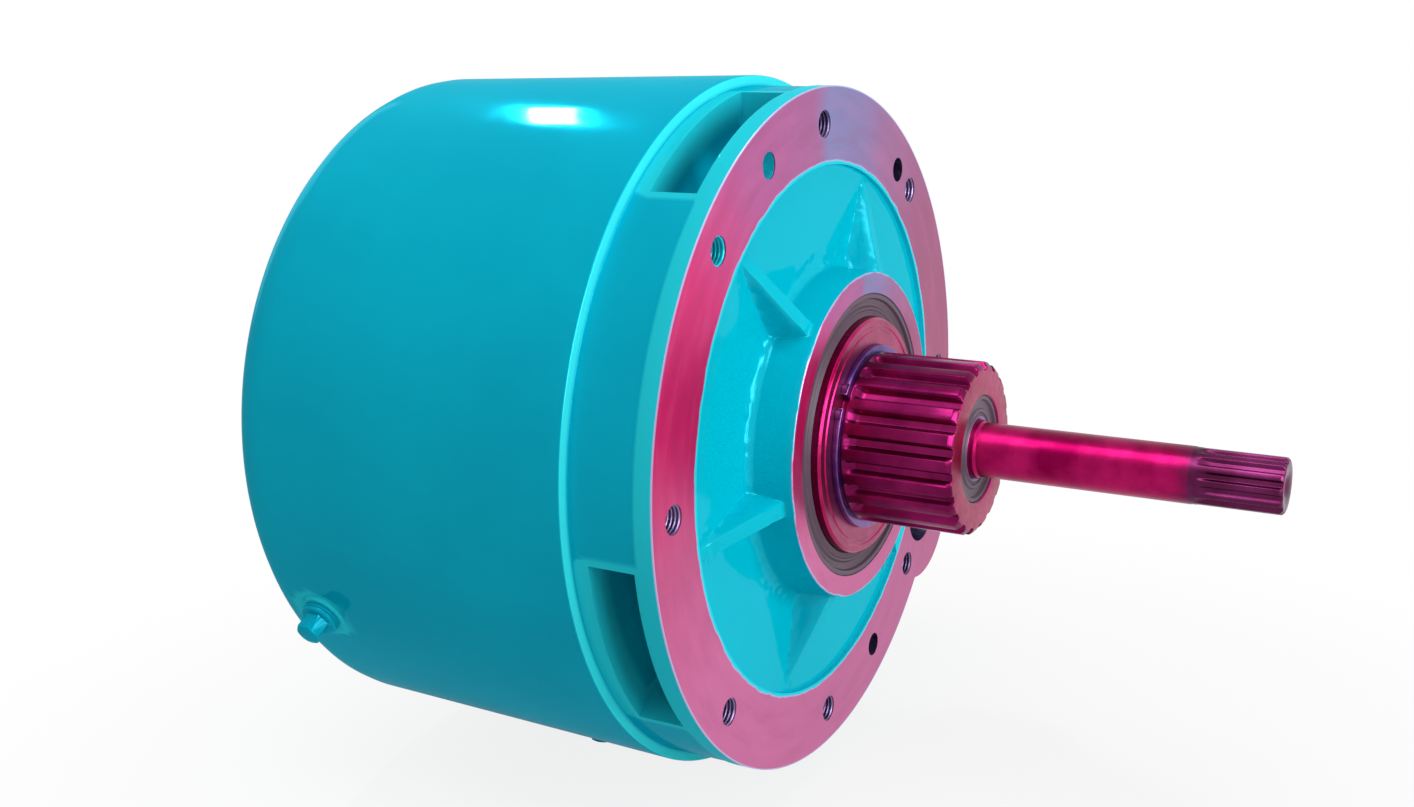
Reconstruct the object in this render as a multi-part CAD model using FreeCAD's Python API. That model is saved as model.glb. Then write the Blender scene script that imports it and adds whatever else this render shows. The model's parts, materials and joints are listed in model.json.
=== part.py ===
# Coaxial three-stage hoist gearbox, all lengths in millimetres.
# The output axis is X, the origin is the centre of the flange's machined face,
# the splined output points to +X and +Z is up.
# Clock angles are seen from the front: 0 points to -Y and 90 points up.
import FreeCAD
import Part
import math
import os

os.makedirs("parts", exist_ok=True)

# Flange, end wall and boss of the main housing
flange_d = 362.0
flange_t = 11.0
machined_ring_inner_d = 282.0
cast_recess = 2.5
end_wall_t = 13.5
boss_proud = 22.0
boss_d = 172.0
boss_foot_d = 196.0
boss_foot_h = 8.0
boss_draft = 4.0

# Length by which a cutter or a fused piece runs past a face
overlap = 1.0

# Neck and cup of the main housing
neck_d = 361.0
neck_slope = 6.0
shoulder_back = 45.5
shoulder_slope = 2.0
shoulder_round = 2.5
cup_front_d = 372.0
cup_rear_d = 365.0
cup_back = 260.0
rear_round = 22.0
cup_wall = 9.0
neck_bore_d = 276.0

# Ribs on the end wall
rib_angles = (-14.0, 48.0, 110.5, 170.0, -132.0, -73.5)
rib_t = 8.5
rib_foot_t = 7.0
rib_foot_h = 0.5
rib_draft = 3.0
rib_foot_r = 136.0
rib_top_drop = 5.0

# Windows cut into the neck behind the flange
window_count = 4
window_angle = 64.0
window_span = 32.0
window_length = 25.0
window_floor_r = 146.0
window_cove = 22.0

# Holes in the flange face
bolt_circle_d = 324.0
bolt_count = 8
bolt_first_angle = -3.0
bolt_hole_d = 13.8
bolt_hole_depth = 30.0
window_hole_d = 13.5
window_hole_circle_d = 321.0
spare_hole_angle = 124.0
spare_hole_depth = 20.0
ear_angle = -150.5
ear_r = 162.5
ear_round = 42.0
ear_t = 38.0
ear_hole_d = 38.0
ear_hole_depth = 30.0

# Rear opening and rear cover
cover_rim_wall_t = 18.5
ledge_w = 18.0
cover_t = 12.0
cover_sunk = 8.0
cover_rib_h = 4.0
spigot_h = 3.0
gasket_t = 1.0
ledge_t = 14.0
fit_gap = 0.2
cover_bolt_count = 8
cover_rib_count = 8
cover_rib_t = 8.0
cover_hub_d = 110.0

# Screws: shank, head across flats and head height
m10_d = 10.0
m10_head_af = 16.0
m10_head_h = 6.4
screw_grip = 14.0

# Gear train: module and teeth of each stage, first stage at the motor shaft
stage_1_module = 2.5
stage_1_pinion_teeth = 14
stage_1_gear_teeth = 42
stage_2_module = 3.0
stage_2_pinion_teeth = 12
stage_2_gear_teeth = 38
stage_3_module = 4.0
stage_3_pinion_teeth = 12
stage_3_gear_teeth = 30
pinion_shift = 0.35
pressure_angle = 20.0
backlash = 0.5
second_layshaft_angle = 215.0
stage_1_face = 24.0
stage_2_face = 30.0
stage_3_face = 44.0
pinion_extra = 2.0

# Bearings: bore, outside diameter and width
output_front_bore_d = 90.0
output_front_outer_d = 140.0
output_front_w = 24.0
output_rear_bore_d = 60.0
output_rear_outer_d = 95.0
output_rear_w = 18.0
second_front_bore_d = 26.0
second_front_outer_d = 34.0
second_front_w = 14.0
second_rear_bore_d = 32.0
second_rear_outer_d = 42.0
second_rear_w = 15.0
first_bore_d = 22.0
first_outer_d = 30.0
first_w = 12.0
input_front_outer_d = 40.0
input_front_w = 18.0
input_rear_bore_d = 25.0
input_rear_outer_d = 35.0
input_rear_w = 15.0
running_clearance = 0.05
bearing_lip_h = 6.0
bearing_lip_t = 4.0
case_ring_t = 3.0
case_ring_h = 5.0

# Output shaft
output_nose_x = 86.4
output_bore_d = 34.0
output_spline_teeth = 21
output_spline_tip_d = 89.2
output_spline_root_d = 81.2
output_spline_tip_t = 5.6
output_spline_root_t = 8.6
output_spline_chamfer = 2.5
output_land = 2.0
collar_d = 102.0
collar_t = 3.5
output_tail = 12.0
spacer_h = 5.0
layshaft_spacer_h = 4.0
circlip_t = 2.5
circlip_h = 3.5
output_key_w = 14.0
output_key_h = 9.0
small_key_w = 8.0
small_key_h = 7.0
second_tail = 4.0
first_seat_d = 28.0
first_collar_d = 38.0

# Seals, seal sleeve and snap rings
output_seal_d = 150.0
output_seal_w = 12.0
output_seal_sunk = 0.5
output_seal_case_t = 2.5
output_seal_lip_t = 4.0
seal_back_gap = 4.0
seal_lip_h = 1.0
sleeve_d = 125.0
sleeve_proud = 6.0
sleeve_chamfer = 2.0
sleeve_land = 4.0
snap_ring_t = 3.0
snap_ring_h = 3.5
snap_ring_gap = 10.0
groove_depth = 1.5
input_seal_d = 55.0
input_seal_w = 8.0
input_seal_sunk = 1.0
input_seal_case_t = 2.0
input_seal_lip_t = 3.0

# Input shaft
input_nose_x = 235.6
input_shaft_d = 28.0
input_journal_d = 30.0
input_spline_teeth = 12
input_spline_tip_d = 27.6
input_spline_root_d = 24.0
input_spline_tip_t = 2.6
input_spline_root_t = 4.2
input_spline_length = 42.0
input_spline_chamfer = 1.5

# Axial gaps between neighbours inside the case
side_gap = 2.0
gear_gap = 6.0
wide_gear_gap = 10.0
bearing_plate_t = 22.0
bearing_shoulder = 2.0
pillar_count = 6
pillar_d = 26.0
pillar_circle_d = 258.0
pillar_web_t = 9.0
pillar_first_angle = 5.0
seat_wall_t = 6.0
hub_wall_t = 12.0

# Oil plugs and breather
level_plug_angle = -30.0
level_plug_x = -216.0
plug_af = 15.0
plug_head_h = 9.0
plug_head_chamfer = 1.5
plug_seat_root = 4.0
plug_collar_d = 21.0
plug_collar_h = 3.0
plug_thread_d = 13.0
plug_thread_l = 12.0
plug_washer_t = 1.5
plug_reach = 40.0
plug_seat_d = 25.0
plug_seat_h = 2.5
drain_plug_angle = -84.5
drain_plug_x = -133.0
plug_seat_sunk = 1.0
breather_angle = 90.0
breather_inset = 52.0
breather_d = 12.0
breather_af = 17.0
breather_h = 14.0

X_AXIS = FreeCAD.Vector(1, 0, 0)
MAIN = (0.0, 0.0)


def polar(radius, angle, x=0.0):
    """Point at a radius and a clock angle on the plane x."""
    turn = math.radians(angle)
    return FreeCAD.Vector(x, -radius * math.cos(turn), radius * math.sin(turn))


def axis_at(radius, angle):
    """Y and Z of a shaft axis given by radius and clock angle."""
    point = polar(radius, angle)
    return (point.y, point.z)


def rod(x_rear, x_front, radius, axis=MAIN):
    """Plain cylinder along X between two planes."""
    base = FreeCAD.Vector(x_rear, axis[0], axis[1])
    return Part.makeCylinder(radius, x_front - x_rear, base, X_AXIS)


def tube(x_rear, x_front, r_in, r_out, axis=MAIN):
    """Plain ring along X between two planes."""
    wall = [(x_rear, r_in), (x_rear, r_out), (x_front, r_out), (x_front, r_in)]
    return turned(wall, axis)


def profile(corners):
    """Flat face with corners (x, radius) or (x, radius, rounding)."""
    count = len(corners)
    points = [FreeCAD.Vector(c[0], c[1], 0) for c in corners]
    starts = []
    ends = []
    edges = []
    for i in range(count):
        size = corners[i][2] if len(corners[i]) > 2 else 0.0
        before = (points[i - 1] - points[i]).normalize()
        after = (points[(i + 1) % count] - points[i]).normalize()
        if size == 0.0:
            starts.append(points[i])
            ends.append(points[i])
            edges.append(None)
            continue
        half = before.getAngle(after) / 2
        reach = size / math.tan(half)
        middle = (before + after).normalize()
        start = points[i] + before * reach
        end = points[i] + after * reach
        crown = points[i] + middle * (size / math.sin(half) - size)
        starts.append(start)
        ends.append(end)
        edges.append(Part.Arc(start, crown, end).toShape())
    outline = []
    for i in range(count):
        if edges[i] is not None:
            outline.append(edges[i])
        following = starts[(i + 1) % count]
        if ends[i].distanceToPoint(following) > 1e-6:
            outline.append(Part.LineSegment(ends[i], following).toShape())
    return Part.Face(Part.Wire(outline))


def turned(corners, axis=MAIN):
    """Solid turned about a shaft axis from its profile."""
    solid = profile(corners).revolve(FreeCAD.Vector(0, 0, 0), X_AXIS, 360)
    solid.translate(FreeCAD.Vector(0, axis[0], axis[1]))
    return solid


def hexagon(x_rear, x_front, across_flats, axis=MAIN):
    """Hexagon bar along X."""
    radius = across_flats / math.sqrt(3)
    corners = []
    for i in range(7):
        turn = math.radians(60 * i)
        y = axis[0] + radius * math.cos(turn)
        z = axis[1] + radius * math.sin(turn)
        corners.append(FreeCAD.Vector(x_rear, y, z))
    face = Part.Face(Part.makePolygon(corners))
    return face.extrude(FreeCAD.Vector(x_front - x_rear, 0, 0))


def around(count, first_angle):
    """Clock angles of a full circle of equal pitches."""
    return [first_angle + 360.0 * i / count for i in range(count)]


def ring_section(x, ring_points, axis):
    """Flat face at x from points (radius, turn in radians) about a shaft axis."""
    corners = []
    for radius, turn in ring_points:
        y = axis[0] + radius * math.cos(turn)
        z = axis[1] + radius * math.sin(turn)
        corners.append(FreeCAD.Vector(x, y, z))
    corners.append(corners[0])
    return Part.Face(Part.makePolygon(corners))


class Gear:
    """Involute spur gear with profile shift, turned by phase radians at rest."""

    def __init__(self, module, teeth, shift, axis, phase):
        self.axis = axis
        self.phase = phase
        self.teeth = teeth
        self.pitch_r = module * teeth / 2
        self.tip_r = self.pitch_r + module * (1 + shift)
        self.root_r = self.pitch_r - module * (1.25 - shift)
        slope = math.tan(math.radians(pressure_angle))
        self.base_r = self.pitch_r * math.cos(math.radians(pressure_angle))
        thickness = module * (math.pi / 2 + 2 * shift * slope) - backlash / 2
        self.half_at_pitch = thickness / (2 * self.pitch_r)

    def half_angle(self, radius):
        """Half the tooth's angle at a radius."""
        pressure = math.radians(pressure_angle)
        at_pitch = math.tan(pressure) - pressure
        local = math.acos(min(1.0, self.base_r / radius))
        return self.half_at_pitch + at_pitch - (math.tan(local) - local)

    def solid(self, x_rear, x_front):
        """Toothed body, with each flank in two flat steps."""
        start_r = max(self.base_r, self.root_r)
        radii = [start_r, (start_r + self.tip_r) / 2, self.tip_r]
        foot = min(self.half_angle(start_r), 0.92 * math.pi / self.teeth)
        flank = [(self.root_r, foot)]
        if self.base_r > self.root_r + 0.05:
            flank.append((start_r, foot))
        for radius in radii[1:]:
            flank.append((radius, self.half_angle(radius)))
        points = []
        for i in range(self.teeth):
            centre = self.phase + 2 * math.pi * i / self.teeth
            for radius, half in flank:
                points.append((radius, centre - half))
            for radius, half in reversed(flank):
                points.append((radius, centre + half))
        face = ring_section(x_rear, points, self.axis)
        return face.extrude(FreeCAD.Vector(x_front - x_rear, 0, 0))


def spline(x_rear, x_front, teeth, tip_d, root_d, tip_t, root_t, chamfer):
    """Splined bar with straight flanks and a turned chamfer at its front end."""
    points = []
    for i in range(teeth):
        centre = 2 * math.pi * i / teeth
        foot = root_t / root_d
        crest = tip_t / tip_d
        points.append((root_d / 2, centre - foot))
        points.append((tip_d / 2, centre - crest))
        points.append((tip_d / 2, centre + crest))
        points.append((root_d / 2, centre + foot))
    face = ring_section(x_rear, points, MAIN)
    bar = face.extrude(FreeCAD.Vector(x_front - x_rear, 0, 0))
    tip = tip_d / 2
    envelope = [(x_rear, 0), (x_rear, tip + 1), (x_front - chamfer, tip + 1)]
    envelope += [(x_front - chamfer, tip), (x_front, tip - chamfer), (x_front, 0)]
    return bar.common(turned(envelope))


def key_bar(x_rear, x_front, radius, width, height, axis):
    """Flat key standing on a shaft, half of its height above the shaft's surface."""
    low = FreeCAD.Vector(x_rear, axis[0] - width / 2, axis[1] + radius - height / 2)
    return Part.makeBox(x_front - x_rear, width, height, low)


def c_ring(x_rear, x_front, r_in, r_out, gap, axis=MAIN):
    """Snap ring with a gap at its top."""
    ring = tube(x_rear, x_front, r_in, r_out, axis)
    corner = FreeCAD.Vector(x_rear - 1, axis[0] - gap / 2, axis[1] + r_in / 2)
    slot = Part.makeBox(x_front - x_rear + 2, gap, r_out, corner)
    return ring.cut(slot)


def bearing_rings(x_rear, sizes, axis=MAIN):
    """Outer and inner ring of a sealed ball bearing, a running clearance apart."""
    bore, outside, width = sizes
    middle = (bore + outside) / 4
    outer = tube(x_rear, x_rear + width, middle + running_clearance, outside / 2, axis)
    inner = tube(x_rear, x_rear + width, bore / 2, middle, axis)
    return outer, inner


def needle_cup(x_rear, sizes, axis=MAIN):
    """Outer ring of a needle bearing, whose needles run on the journal."""
    bore, outside, width = sizes
    return tube(x_rear, x_rear + width, bore / 2 + running_clearance, outside / 2, axis)


# Sizes and positions that follow from the sizes above
cover_d = cup_rear_d - 2 * cover_rim_wall_t
rear_opening_d = cover_d - 2 * ledge_w
cover_bolt_circle_d = cover_d - ledge_w
plate_d = pillar_circle_d + pillar_d
output_front_bearing = (output_front_bore_d, output_front_outer_d, output_front_w)
output_rear_bearing = (output_rear_bore_d, output_rear_outer_d, output_rear_w)
second_front_bearing = (second_front_bore_d, second_front_outer_d, second_front_w)
second_rear_bearing = (second_rear_bore_d, second_rear_outer_d, second_rear_w)
first_front_bearing = (first_bore_d, first_outer_d, first_w)
first_rear_bearing = first_front_bearing
input_front_bearing = (input_journal_d, input_front_outer_d, input_front_w)
input_rear_bearing = (input_rear_bore_d, input_rear_outer_d, input_rear_w)
end_wall_front = -cast_recess
end_wall_rear = end_wall_front - end_wall_t
front_bearing_front = boss_proud - output_seal_w - seal_back_gap
front_bearing_rear = front_bearing_front - output_front_bearing[2]
hub_rear = front_bearing_rear - bearing_lip_t
hub_r = output_front_bearing[1] / 2 + hub_wall_t
second_front_seat = hub_rear - bearing_shoulder
second_seat_rear = second_front_seat - second_front_bearing[2]
output_gear_front = second_seat_rear - gear_gap - side_gap
output_gear_rear = output_gear_front - stage_3_face
plate_front = output_gear_rear - wide_gear_gap
plate_rear = plate_front - bearing_plate_t
output_rear_bearing_rear = plate_front - bearing_shoulder - output_rear_bearing[2]
second_rear_bearing_rear = plate_rear
first_boss_rear = plate_rear - bearing_shoulder - first_front_bearing[2]
output_tail_x = output_rear_bearing_rear - output_tail
second_gear_front = first_boss_rear - gear_gap
second_gear_rear = second_gear_front - stage_2_face
first_gear_front = second_gear_rear - wide_gear_gap
first_gear_rear = first_gear_front - stage_1_face
cover_seat_front = first_gear_rear - gear_gap
cover_rear = -cup_back + cover_sunk
cover_front = cover_rear + cover_t
ledge_rear = cover_front + gasket_t
ledge_front = ledge_rear + ledge_t
sleeve_front = boss_proud + sleeve_proud
snap_ring_front = sleeve_front + snap_ring_t
spline_rear = snap_ring_front + output_land
input_seal_rear = output_nose_x - input_seal_sunk - input_seal_w
circlip_rear = output_rear_bearing_rear - circlip_t
second_tail_x = second_gear_rear - second_tail
BREATHER = axis_at(cover_d / 2 - breather_inset, breather_angle)

first_radius = stage_1_module * (stage_1_pinion_teeth + stage_1_gear_teeth) / 2
layshaft_gap = stage_2_module * (stage_2_pinion_teeth + stage_2_gear_teeth) / 2
second_radius = stage_3_module * (stage_3_pinion_teeth + stage_3_gear_teeth) / 2
between = (first_radius**2 + second_radius**2 - layshaft_gap**2) / (2 * first_radius * second_radius)
first_layshaft_angle = second_layshaft_angle - math.degrees(math.acos(between))
FIRST = axis_at(first_radius, first_layshaft_angle)
SECOND = axis_at(second_radius, second_layshaft_angle)


def meshing_phase(driver_axis, driver_phase, driver_teeth, gear_axis, gear_teeth):
    """Turn of a gear that puts a tooth space where the driver's tooth points at it."""
    direction = math.atan2(gear_axis[1] - driver_axis[1], gear_axis[0] - driver_axis[0])
    ahead = (direction - driver_phase) * driver_teeth
    return direction + math.pi + (ahead + math.pi) / gear_teeth


output_gear = Gear(stage_3_module, stage_3_gear_teeth, -pinion_shift, MAIN, 0.0)
phase = meshing_phase(MAIN, 0.0, stage_3_gear_teeth, SECOND, stage_3_pinion_teeth)
second_pinion = Gear(stage_3_module, stage_3_pinion_teeth, pinion_shift, SECOND, phase)
second_gear = Gear(stage_2_module, stage_2_gear_teeth, -pinion_shift, SECOND, 0.0)
phase = meshing_phase(SECOND, 0.0, stage_2_gear_teeth, FIRST, stage_2_pinion_teeth)
first_pinion = Gear(stage_2_module, stage_2_pinion_teeth, pinion_shift, FIRST, phase)
first_gear = Gear(stage_1_module, stage_1_gear_teeth, -pinion_shift, FIRST, 0.0)
phase = meshing_phase(FIRST, 0.0, stage_1_gear_teeth, MAIN, stage_1_pinion_teeth)
input_pinion = Gear(stage_1_module, stage_1_pinion_teeth, pinion_shift, MAIN, phase)


def sector(corners, angle, span):
    """Part of a turned body, centred on a clock angle."""
    solid = profile(corners).revolve(FreeCAD.Vector(0, 0, 0), X_AXIS, span)
    solid.rotate(FreeCAD.Vector(0, 0, 0), X_AXIS, 180 - angle - span / 2)
    return solid


def spoke(x_rear, x_front, r_in, r_out, thickness, angle):
    """Flat radial web about the main axis."""
    low = FreeCAD.Vector(x_rear, r_in, -thickness / 2)
    box = Part.makeBox(x_front - x_rear, r_out - r_in, thickness, low)
    box.rotate(FreeCAD.Vector(0, 0, 0), X_AXIS, 180 - angle)
    return box


def end_wall_rib(angle):
    """Tapered gusset from the boss down to the end wall."""
    top = boss_proud - rib_top_drop
    base = end_wall_front - overlap
    stations = [
        (boss_d / 2 - 2 * overlap, top, rib_t / 2 + rib_draft, rib_t / 2),
        (rib_foot_r, end_wall_front + rib_foot_h, rib_foot_t / 2 + rib_foot_h, rib_foot_t / 2),
    ]
    wires = []
    for radius, height, half_base, half_top in stations:
        corners = [
            FreeCAD.Vector(base, radius, -half_base),
            FreeCAD.Vector(base, radius, half_base),
            FreeCAD.Vector(height, radius, half_top),
            FreeCAD.Vector(height, radius, -half_top),
        ]
        wires.append(Part.makePolygon(corners + [corners[0]]))
    rib = Part.makeLoft(wires, True, True)
    rib.rotate(FreeCAD.Vector(0, 0, 0), X_AXIS, 180 - angle)
    return rib


def placed(shape, point, direction):
    """Shape built along X from the origin, moved to a point along a direction."""
    turn = FreeCAD.Rotation(X_AXIS, direction)
    moved = shape.copy()
    moved.Placement = FreeCAD.Placement(point, turn)
    return moved


def cup_radius(x):
    """Outside radius of the cup's cone at x."""
    share = (x + shoulder_back) / (shoulder_back - cup_back)
    return (cup_front_d + (cup_rear_d - cup_front_d) * share) / 2


def plug_parts(x, angle):
    """Seat, drilling, sealing ring and plug at one oil plug."""
    point = polar(cup_radius(x) - plug_seat_sunk, angle, x)
    seat = rod(-plug_seat_root, plug_seat_h, plug_seat_d / 2)
    drilling = rod(-plug_reach, plug_seat_h + overlap, plug_thread_d / 2)
    washer = tube(plug_seat_h, plug_seat_h + plug_washer_t, plug_thread_d / 2, plug_collar_d / 2)
    collar_top = plug_seat_h + plug_washer_t + plug_collar_h
    plug = rod(plug_seat_h + plug_washer_t - plug_thread_l, collar_top, plug_thread_d / 2)
    plug = plug.fuse(rod(plug_seat_h + plug_washer_t, collar_top, plug_collar_d / 2))
    head = hexagon(collar_top, collar_top + plug_head_h, plug_af)
    crown = collar_top + plug_head_h
    corner_r = plug_af / 2 + 2 * plug_head_chamfer
    side_top = crown - plug_head_chamfer
    trim = turned([
        (collar_top, 0),
        (collar_top, corner_r),
        (side_top, corner_r),
        (crown, plug_af / 2),
        (crown, 0),
    ])
    plug = plug.fuse(head.common(trim)).removeSplitter()
    return [placed(piece, point, polar(1.0, angle)) for piece in (seat, drilling, washer, plug)]


def main_housing():
    """Casting with flange, end wall, boss, windowed neck and cup."""
    boss_r = boss_d / 2
    flange_r = flange_d / 2
    neck_r = neck_d / 2
    rim_rear = -(flange_t - neck_slope / 3)
    solid = turned([
        (boss_proud, 0.0),
        (boss_proud, boss_r),
        (end_wall_front + boss_foot_h, boss_r + boss_draft),
        (end_wall_front, boss_foot_d / 2),
        (end_wall_front, machined_ring_inner_d / 2),
        (0.0, machined_ring_inner_d / 2),
        (0.0, flange_r),
        (rim_rear, flange_r),
        (rim_rear - neck_slope, neck_r),
        (-shoulder_back + shoulder_slope, neck_r),
        (-shoulder_back, cup_front_d / 2, shoulder_round),
        (-cup_back, cup_rear_d / 2, rear_round),
        (-cup_back, 0.0),
    ])
    inner_front = cup_radius(-shoulder_back) - cup_wall
    inner_rear = cup_radius(ledge_front) - cup_wall
    hollow = turned([
        (hub_rear, 0.0),
        (hub_rear, hub_r),
        (end_wall_rear, hub_r),
        (end_wall_rear, neck_bore_d / 2),
        (-shoulder_back, neck_bore_d / 2),
        (-shoulder_back - cup_wall, inner_front),
        (ledge_front + cup_wall, inner_rear),
        (ledge_front, rear_opening_d / 2 + cup_wall),
        (ledge_front, rear_opening_d / 2),
        (ledge_rear, rear_opening_d / 2),
        (ledge_rear, cover_d / 2 + fit_gap),
        (-cup_back - overlap, cover_d / 2 + fit_gap),
        (-cup_back - overlap, 0.0),
    ])
    ear_axis = axis_at(ear_r, ear_angle)
    spare_axis = axis_at(window_hole_circle_d / 2, spare_hole_angle)
    solid = solid.fuse([end_wall_rib(angle) for angle in rib_angles])
    solid = solid.fuse(rod(-ear_t, 0.0, ear_round, ear_axis))
    level_seat, level_drilling = plug_parts(level_plug_x, level_plug_angle)[:2]
    drain_seat, drain_drilling = plug_parts(drain_plug_x, drain_plug_angle)[:2]
    solid = solid.fuse([level_seat, drain_seat]).cut(hollow)

    second_seat_r = second_front_bearing[1] / 2
    inside = [rod(second_seat_rear, end_wall_rear + overlap, second_seat_r + seat_wall_t, SECOND)]
    pillar_r = pillar_circle_d / 2
    wall_r = cup_radius(plate_front) - cup_wall / 2
    web_rear = plate_front + pillar_d / 2
    for angle in around(pillar_count, pillar_first_angle):
        pillar_axis = axis_at(pillar_r, angle)
        inside.append(rod(plate_front, end_wall_rear + overlap, pillar_d / 2, pillar_axis))
        inside.append(spoke(web_rear, -shoulder_back + overlap, pillar_r, wall_r, pillar_web_t, angle))
    solid = solid.fuse(inside)

    seal_r = output_seal_d / 2
    bearing_r = output_front_bearing[1] / 2
    cuts = [
        rod(boss_proud - output_seal_w, boss_proud + overlap, seal_r),
        rod(front_bearing_rear, boss_proud - output_seal_w, bearing_r),
        rod(front_bearing_front, front_bearing_front + case_ring_t, bearing_r + groove_depth),
        rod(hub_rear - overlap, front_bearing_rear, bearing_r - bearing_lip_h),
        rod(second_seat_rear, second_front_seat, second_seat_r, SECOND),
        rod(-ear_hole_depth, overlap, ear_hole_d / 2, ear_axis),
        rod(-spare_hole_depth, overlap, window_hole_d / 2, spare_axis),
        level_drilling,
        drain_drilling,
    ]
    window_rear = -flange_t - window_length
    window_shape = [
        (-flange_t, window_floor_r),
        (-flange_t, flange_r + overlap),
        (window_rear, flange_r + overlap),
        (window_rear, window_floor_r, window_cove),
    ]
    for angle in around(window_count, window_angle):
        cuts.append(sector(window_shape, angle, window_span))
    for angle in (window_angle, window_angle + 180):
        hole_axis = axis_at(window_hole_circle_d / 2, angle)
        cuts.append(rod(-flange_t - overlap, overlap, window_hole_d / 2, hole_axis))
    for angle in around(bolt_count, bolt_first_angle):
        cuts.append(rod(-bolt_hole_depth, overlap, bolt_hole_d / 2, axis_at(bolt_circle_d / 2, angle)))
    for angle in around(cover_bolt_count, 0.0):
        bolt_axis = axis_at(cover_bolt_circle_d / 2, angle)
        cuts.append(rod(ledge_rear - overlap, ledge_front + overlap, m10_d / 2, bolt_axis))
    for angle in around(pillar_count, pillar_first_angle):
        screw_axis = axis_at(pillar_r, angle)
        cuts.append(rod(plate_front - overlap, plate_front + screw_grip, m10_d / 2, screw_axis))
    return solid.cut(cuts)


def hex_screws(seat_x, tip_x, circle_d, count, first_angle):
    """Hexagon screws with heads behind a seat, one solid each."""
    screws = []
    for angle in around(count, first_angle):
        axis = axis_at(circle_d / 2, angle)
        head = hexagon(seat_x - m10_head_h, seat_x, m10_head_af, axis)
        screws.append(head.fuse(rod(seat_x, tip_x, m10_d / 2, axis)))
    return Part.makeCompound(screws)


def rear_cover():
    """Cover sunk in the rear opening, with two bearing seats inside and ribs outside."""
    solid = rod(cover_rear, cover_front, cover_d / 2)
    spigot = rod(cover_front, cover_front + spigot_h, rear_opening_d / 2 - fit_gap)
    input_seat_r = input_rear_bearing[1] / 2
    first_seat_r = first_rear_bearing[1] / 2
    rib_rear = cover_rear - cover_rib_h
    extra = [
        spigot,
        rod(cover_front, cover_seat_front, input_seat_r + seat_wall_t),
        rod(cover_front, cover_seat_front, first_seat_r + seat_wall_t, FIRST),
        rod(rib_rear, cover_rear, cover_hub_d / 2),
    ]
    for angle in around(cover_rib_count, 180.0 / cover_rib_count):
        reach = cover_bolt_circle_d / 2 - m10_head_af
        rib_start = cover_hub_d / 2 - 2 * overlap
        extra.append(spoke(rib_rear, cover_rear, rib_start, reach, cover_rib_t, angle))
    solid = solid.fuse(extra)
    input_seat_rear = cover_seat_front - input_rear_bearing[2]
    cuts = [
        rod(input_seat_rear, cover_seat_front, input_seat_r),
        rod(input_seat_rear - side_gap, cover_seat_front, input_seat_r - bearing_lip_h),
        rod(cover_seat_front - first_rear_bearing[2] - side_gap, cover_seat_front, first_seat_r, FIRST),
        rod(rib_rear - overlap, cover_front + spigot_h + overlap, breather_d / 2, BREATHER),
    ]
    for angle in around(cover_bolt_count, 0.0):
        bolt_axis = axis_at(cover_bolt_circle_d / 2, angle)
        cuts.append(rod(cover_rear - overlap, cover_front + overlap, m10_d / 2, bolt_axis))
    return solid.cut(cuts)


def rear_cover_gasket():
    """Flat gasket between the cover and its ledge."""
    ring = tube(cover_front, ledge_rear, rear_opening_d / 2, cover_d / 2)
    holes = []
    for angle in around(cover_bolt_count, 0.0):
        bolt_axis = axis_at(cover_bolt_circle_d / 2, angle)
        holes.append(rod(cover_front - overlap, ledge_rear + overlap, m10_d / 2, bolt_axis))
    return ring.cut(holes)


def bearing_plate():
    """Inner wall on the pillars, which carries three bearings."""
    solid = rod(plate_rear, plate_front, plate_d / 2)
    solid = solid.fuse(rod(first_boss_rear, plate_rear, first_front_bearing[1] / 2 + seat_wall_t, FIRST))
    output_r = output_rear_bearing[1] / 2
    second_r = second_rear_bearing[1] / 2
    cuts = [
        rod(plate_rear - overlap, plate_front - bearing_shoulder, output_r),
        rod(plate_rear - overlap, plate_front + overlap, output_r - bearing_lip_h),
        rod(plate_rear, plate_rear + second_rear_bearing[2], second_r, SECOND),
        rod(plate_rear, plate_front + overlap, second_r - bearing_shoulder, SECOND),
        rod(first_boss_rear, first_boss_rear + first_front_bearing[2], first_front_bearing[1] / 2, FIRST),
    ]
    for angle in around(pillar_count, pillar_first_angle):
        screw_axis = axis_at(pillar_circle_d / 2, angle)
        cuts.append(rod(plate_rear - overlap, plate_front + overlap, m10_d / 2, screw_axis))
    return solid.cut(cuts)


def output_shaft():
    """Hollow shaft with the output spline at its nose."""
    seat_r = output_front_bearing[0] / 2
    tail_r = output_rear_bearing[0] / 2
    body = turned([
        (output_tail_x, 0.0),
        (output_tail_x, tail_r),
        (output_gear_rear, tail_r),
        (output_gear_rear, seat_r),
        (front_bearing_rear - collar_t, seat_r),
        (front_bearing_rear - collar_t, collar_d / 2),
        (front_bearing_rear, collar_d / 2),
        (front_bearing_rear, seat_r),
        (sleeve_front, seat_r),
        (sleeve_front, seat_r - groove_depth),
        (snap_ring_front, seat_r - groove_depth),
        (snap_ring_front, seat_r),
        (spline_rear, seat_r),
        (spline_rear, 0.0),
    ])
    nose = spline(spline_rear, output_nose_x, output_spline_teeth, output_spline_tip_d,
                  output_spline_root_d, output_spline_tip_t, output_spline_root_t, output_spline_chamfer)
    cuts = [
        rod(output_tail_x - overlap, output_nose_x + overlap, output_bore_d / 2),
        rod(input_seal_rear, output_nose_x + overlap, input_seal_d / 2),
        rod(output_tail_x, output_tail_x + input_front_bearing[2], input_front_bearing[1] / 2),
        tube(circlip_rear, circlip_rear + circlip_t, tail_r - groove_depth, tail_r + overlap),
        output_gear_key(),
    ]
    return body.fuse(nose).cut(cuts)


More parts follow.
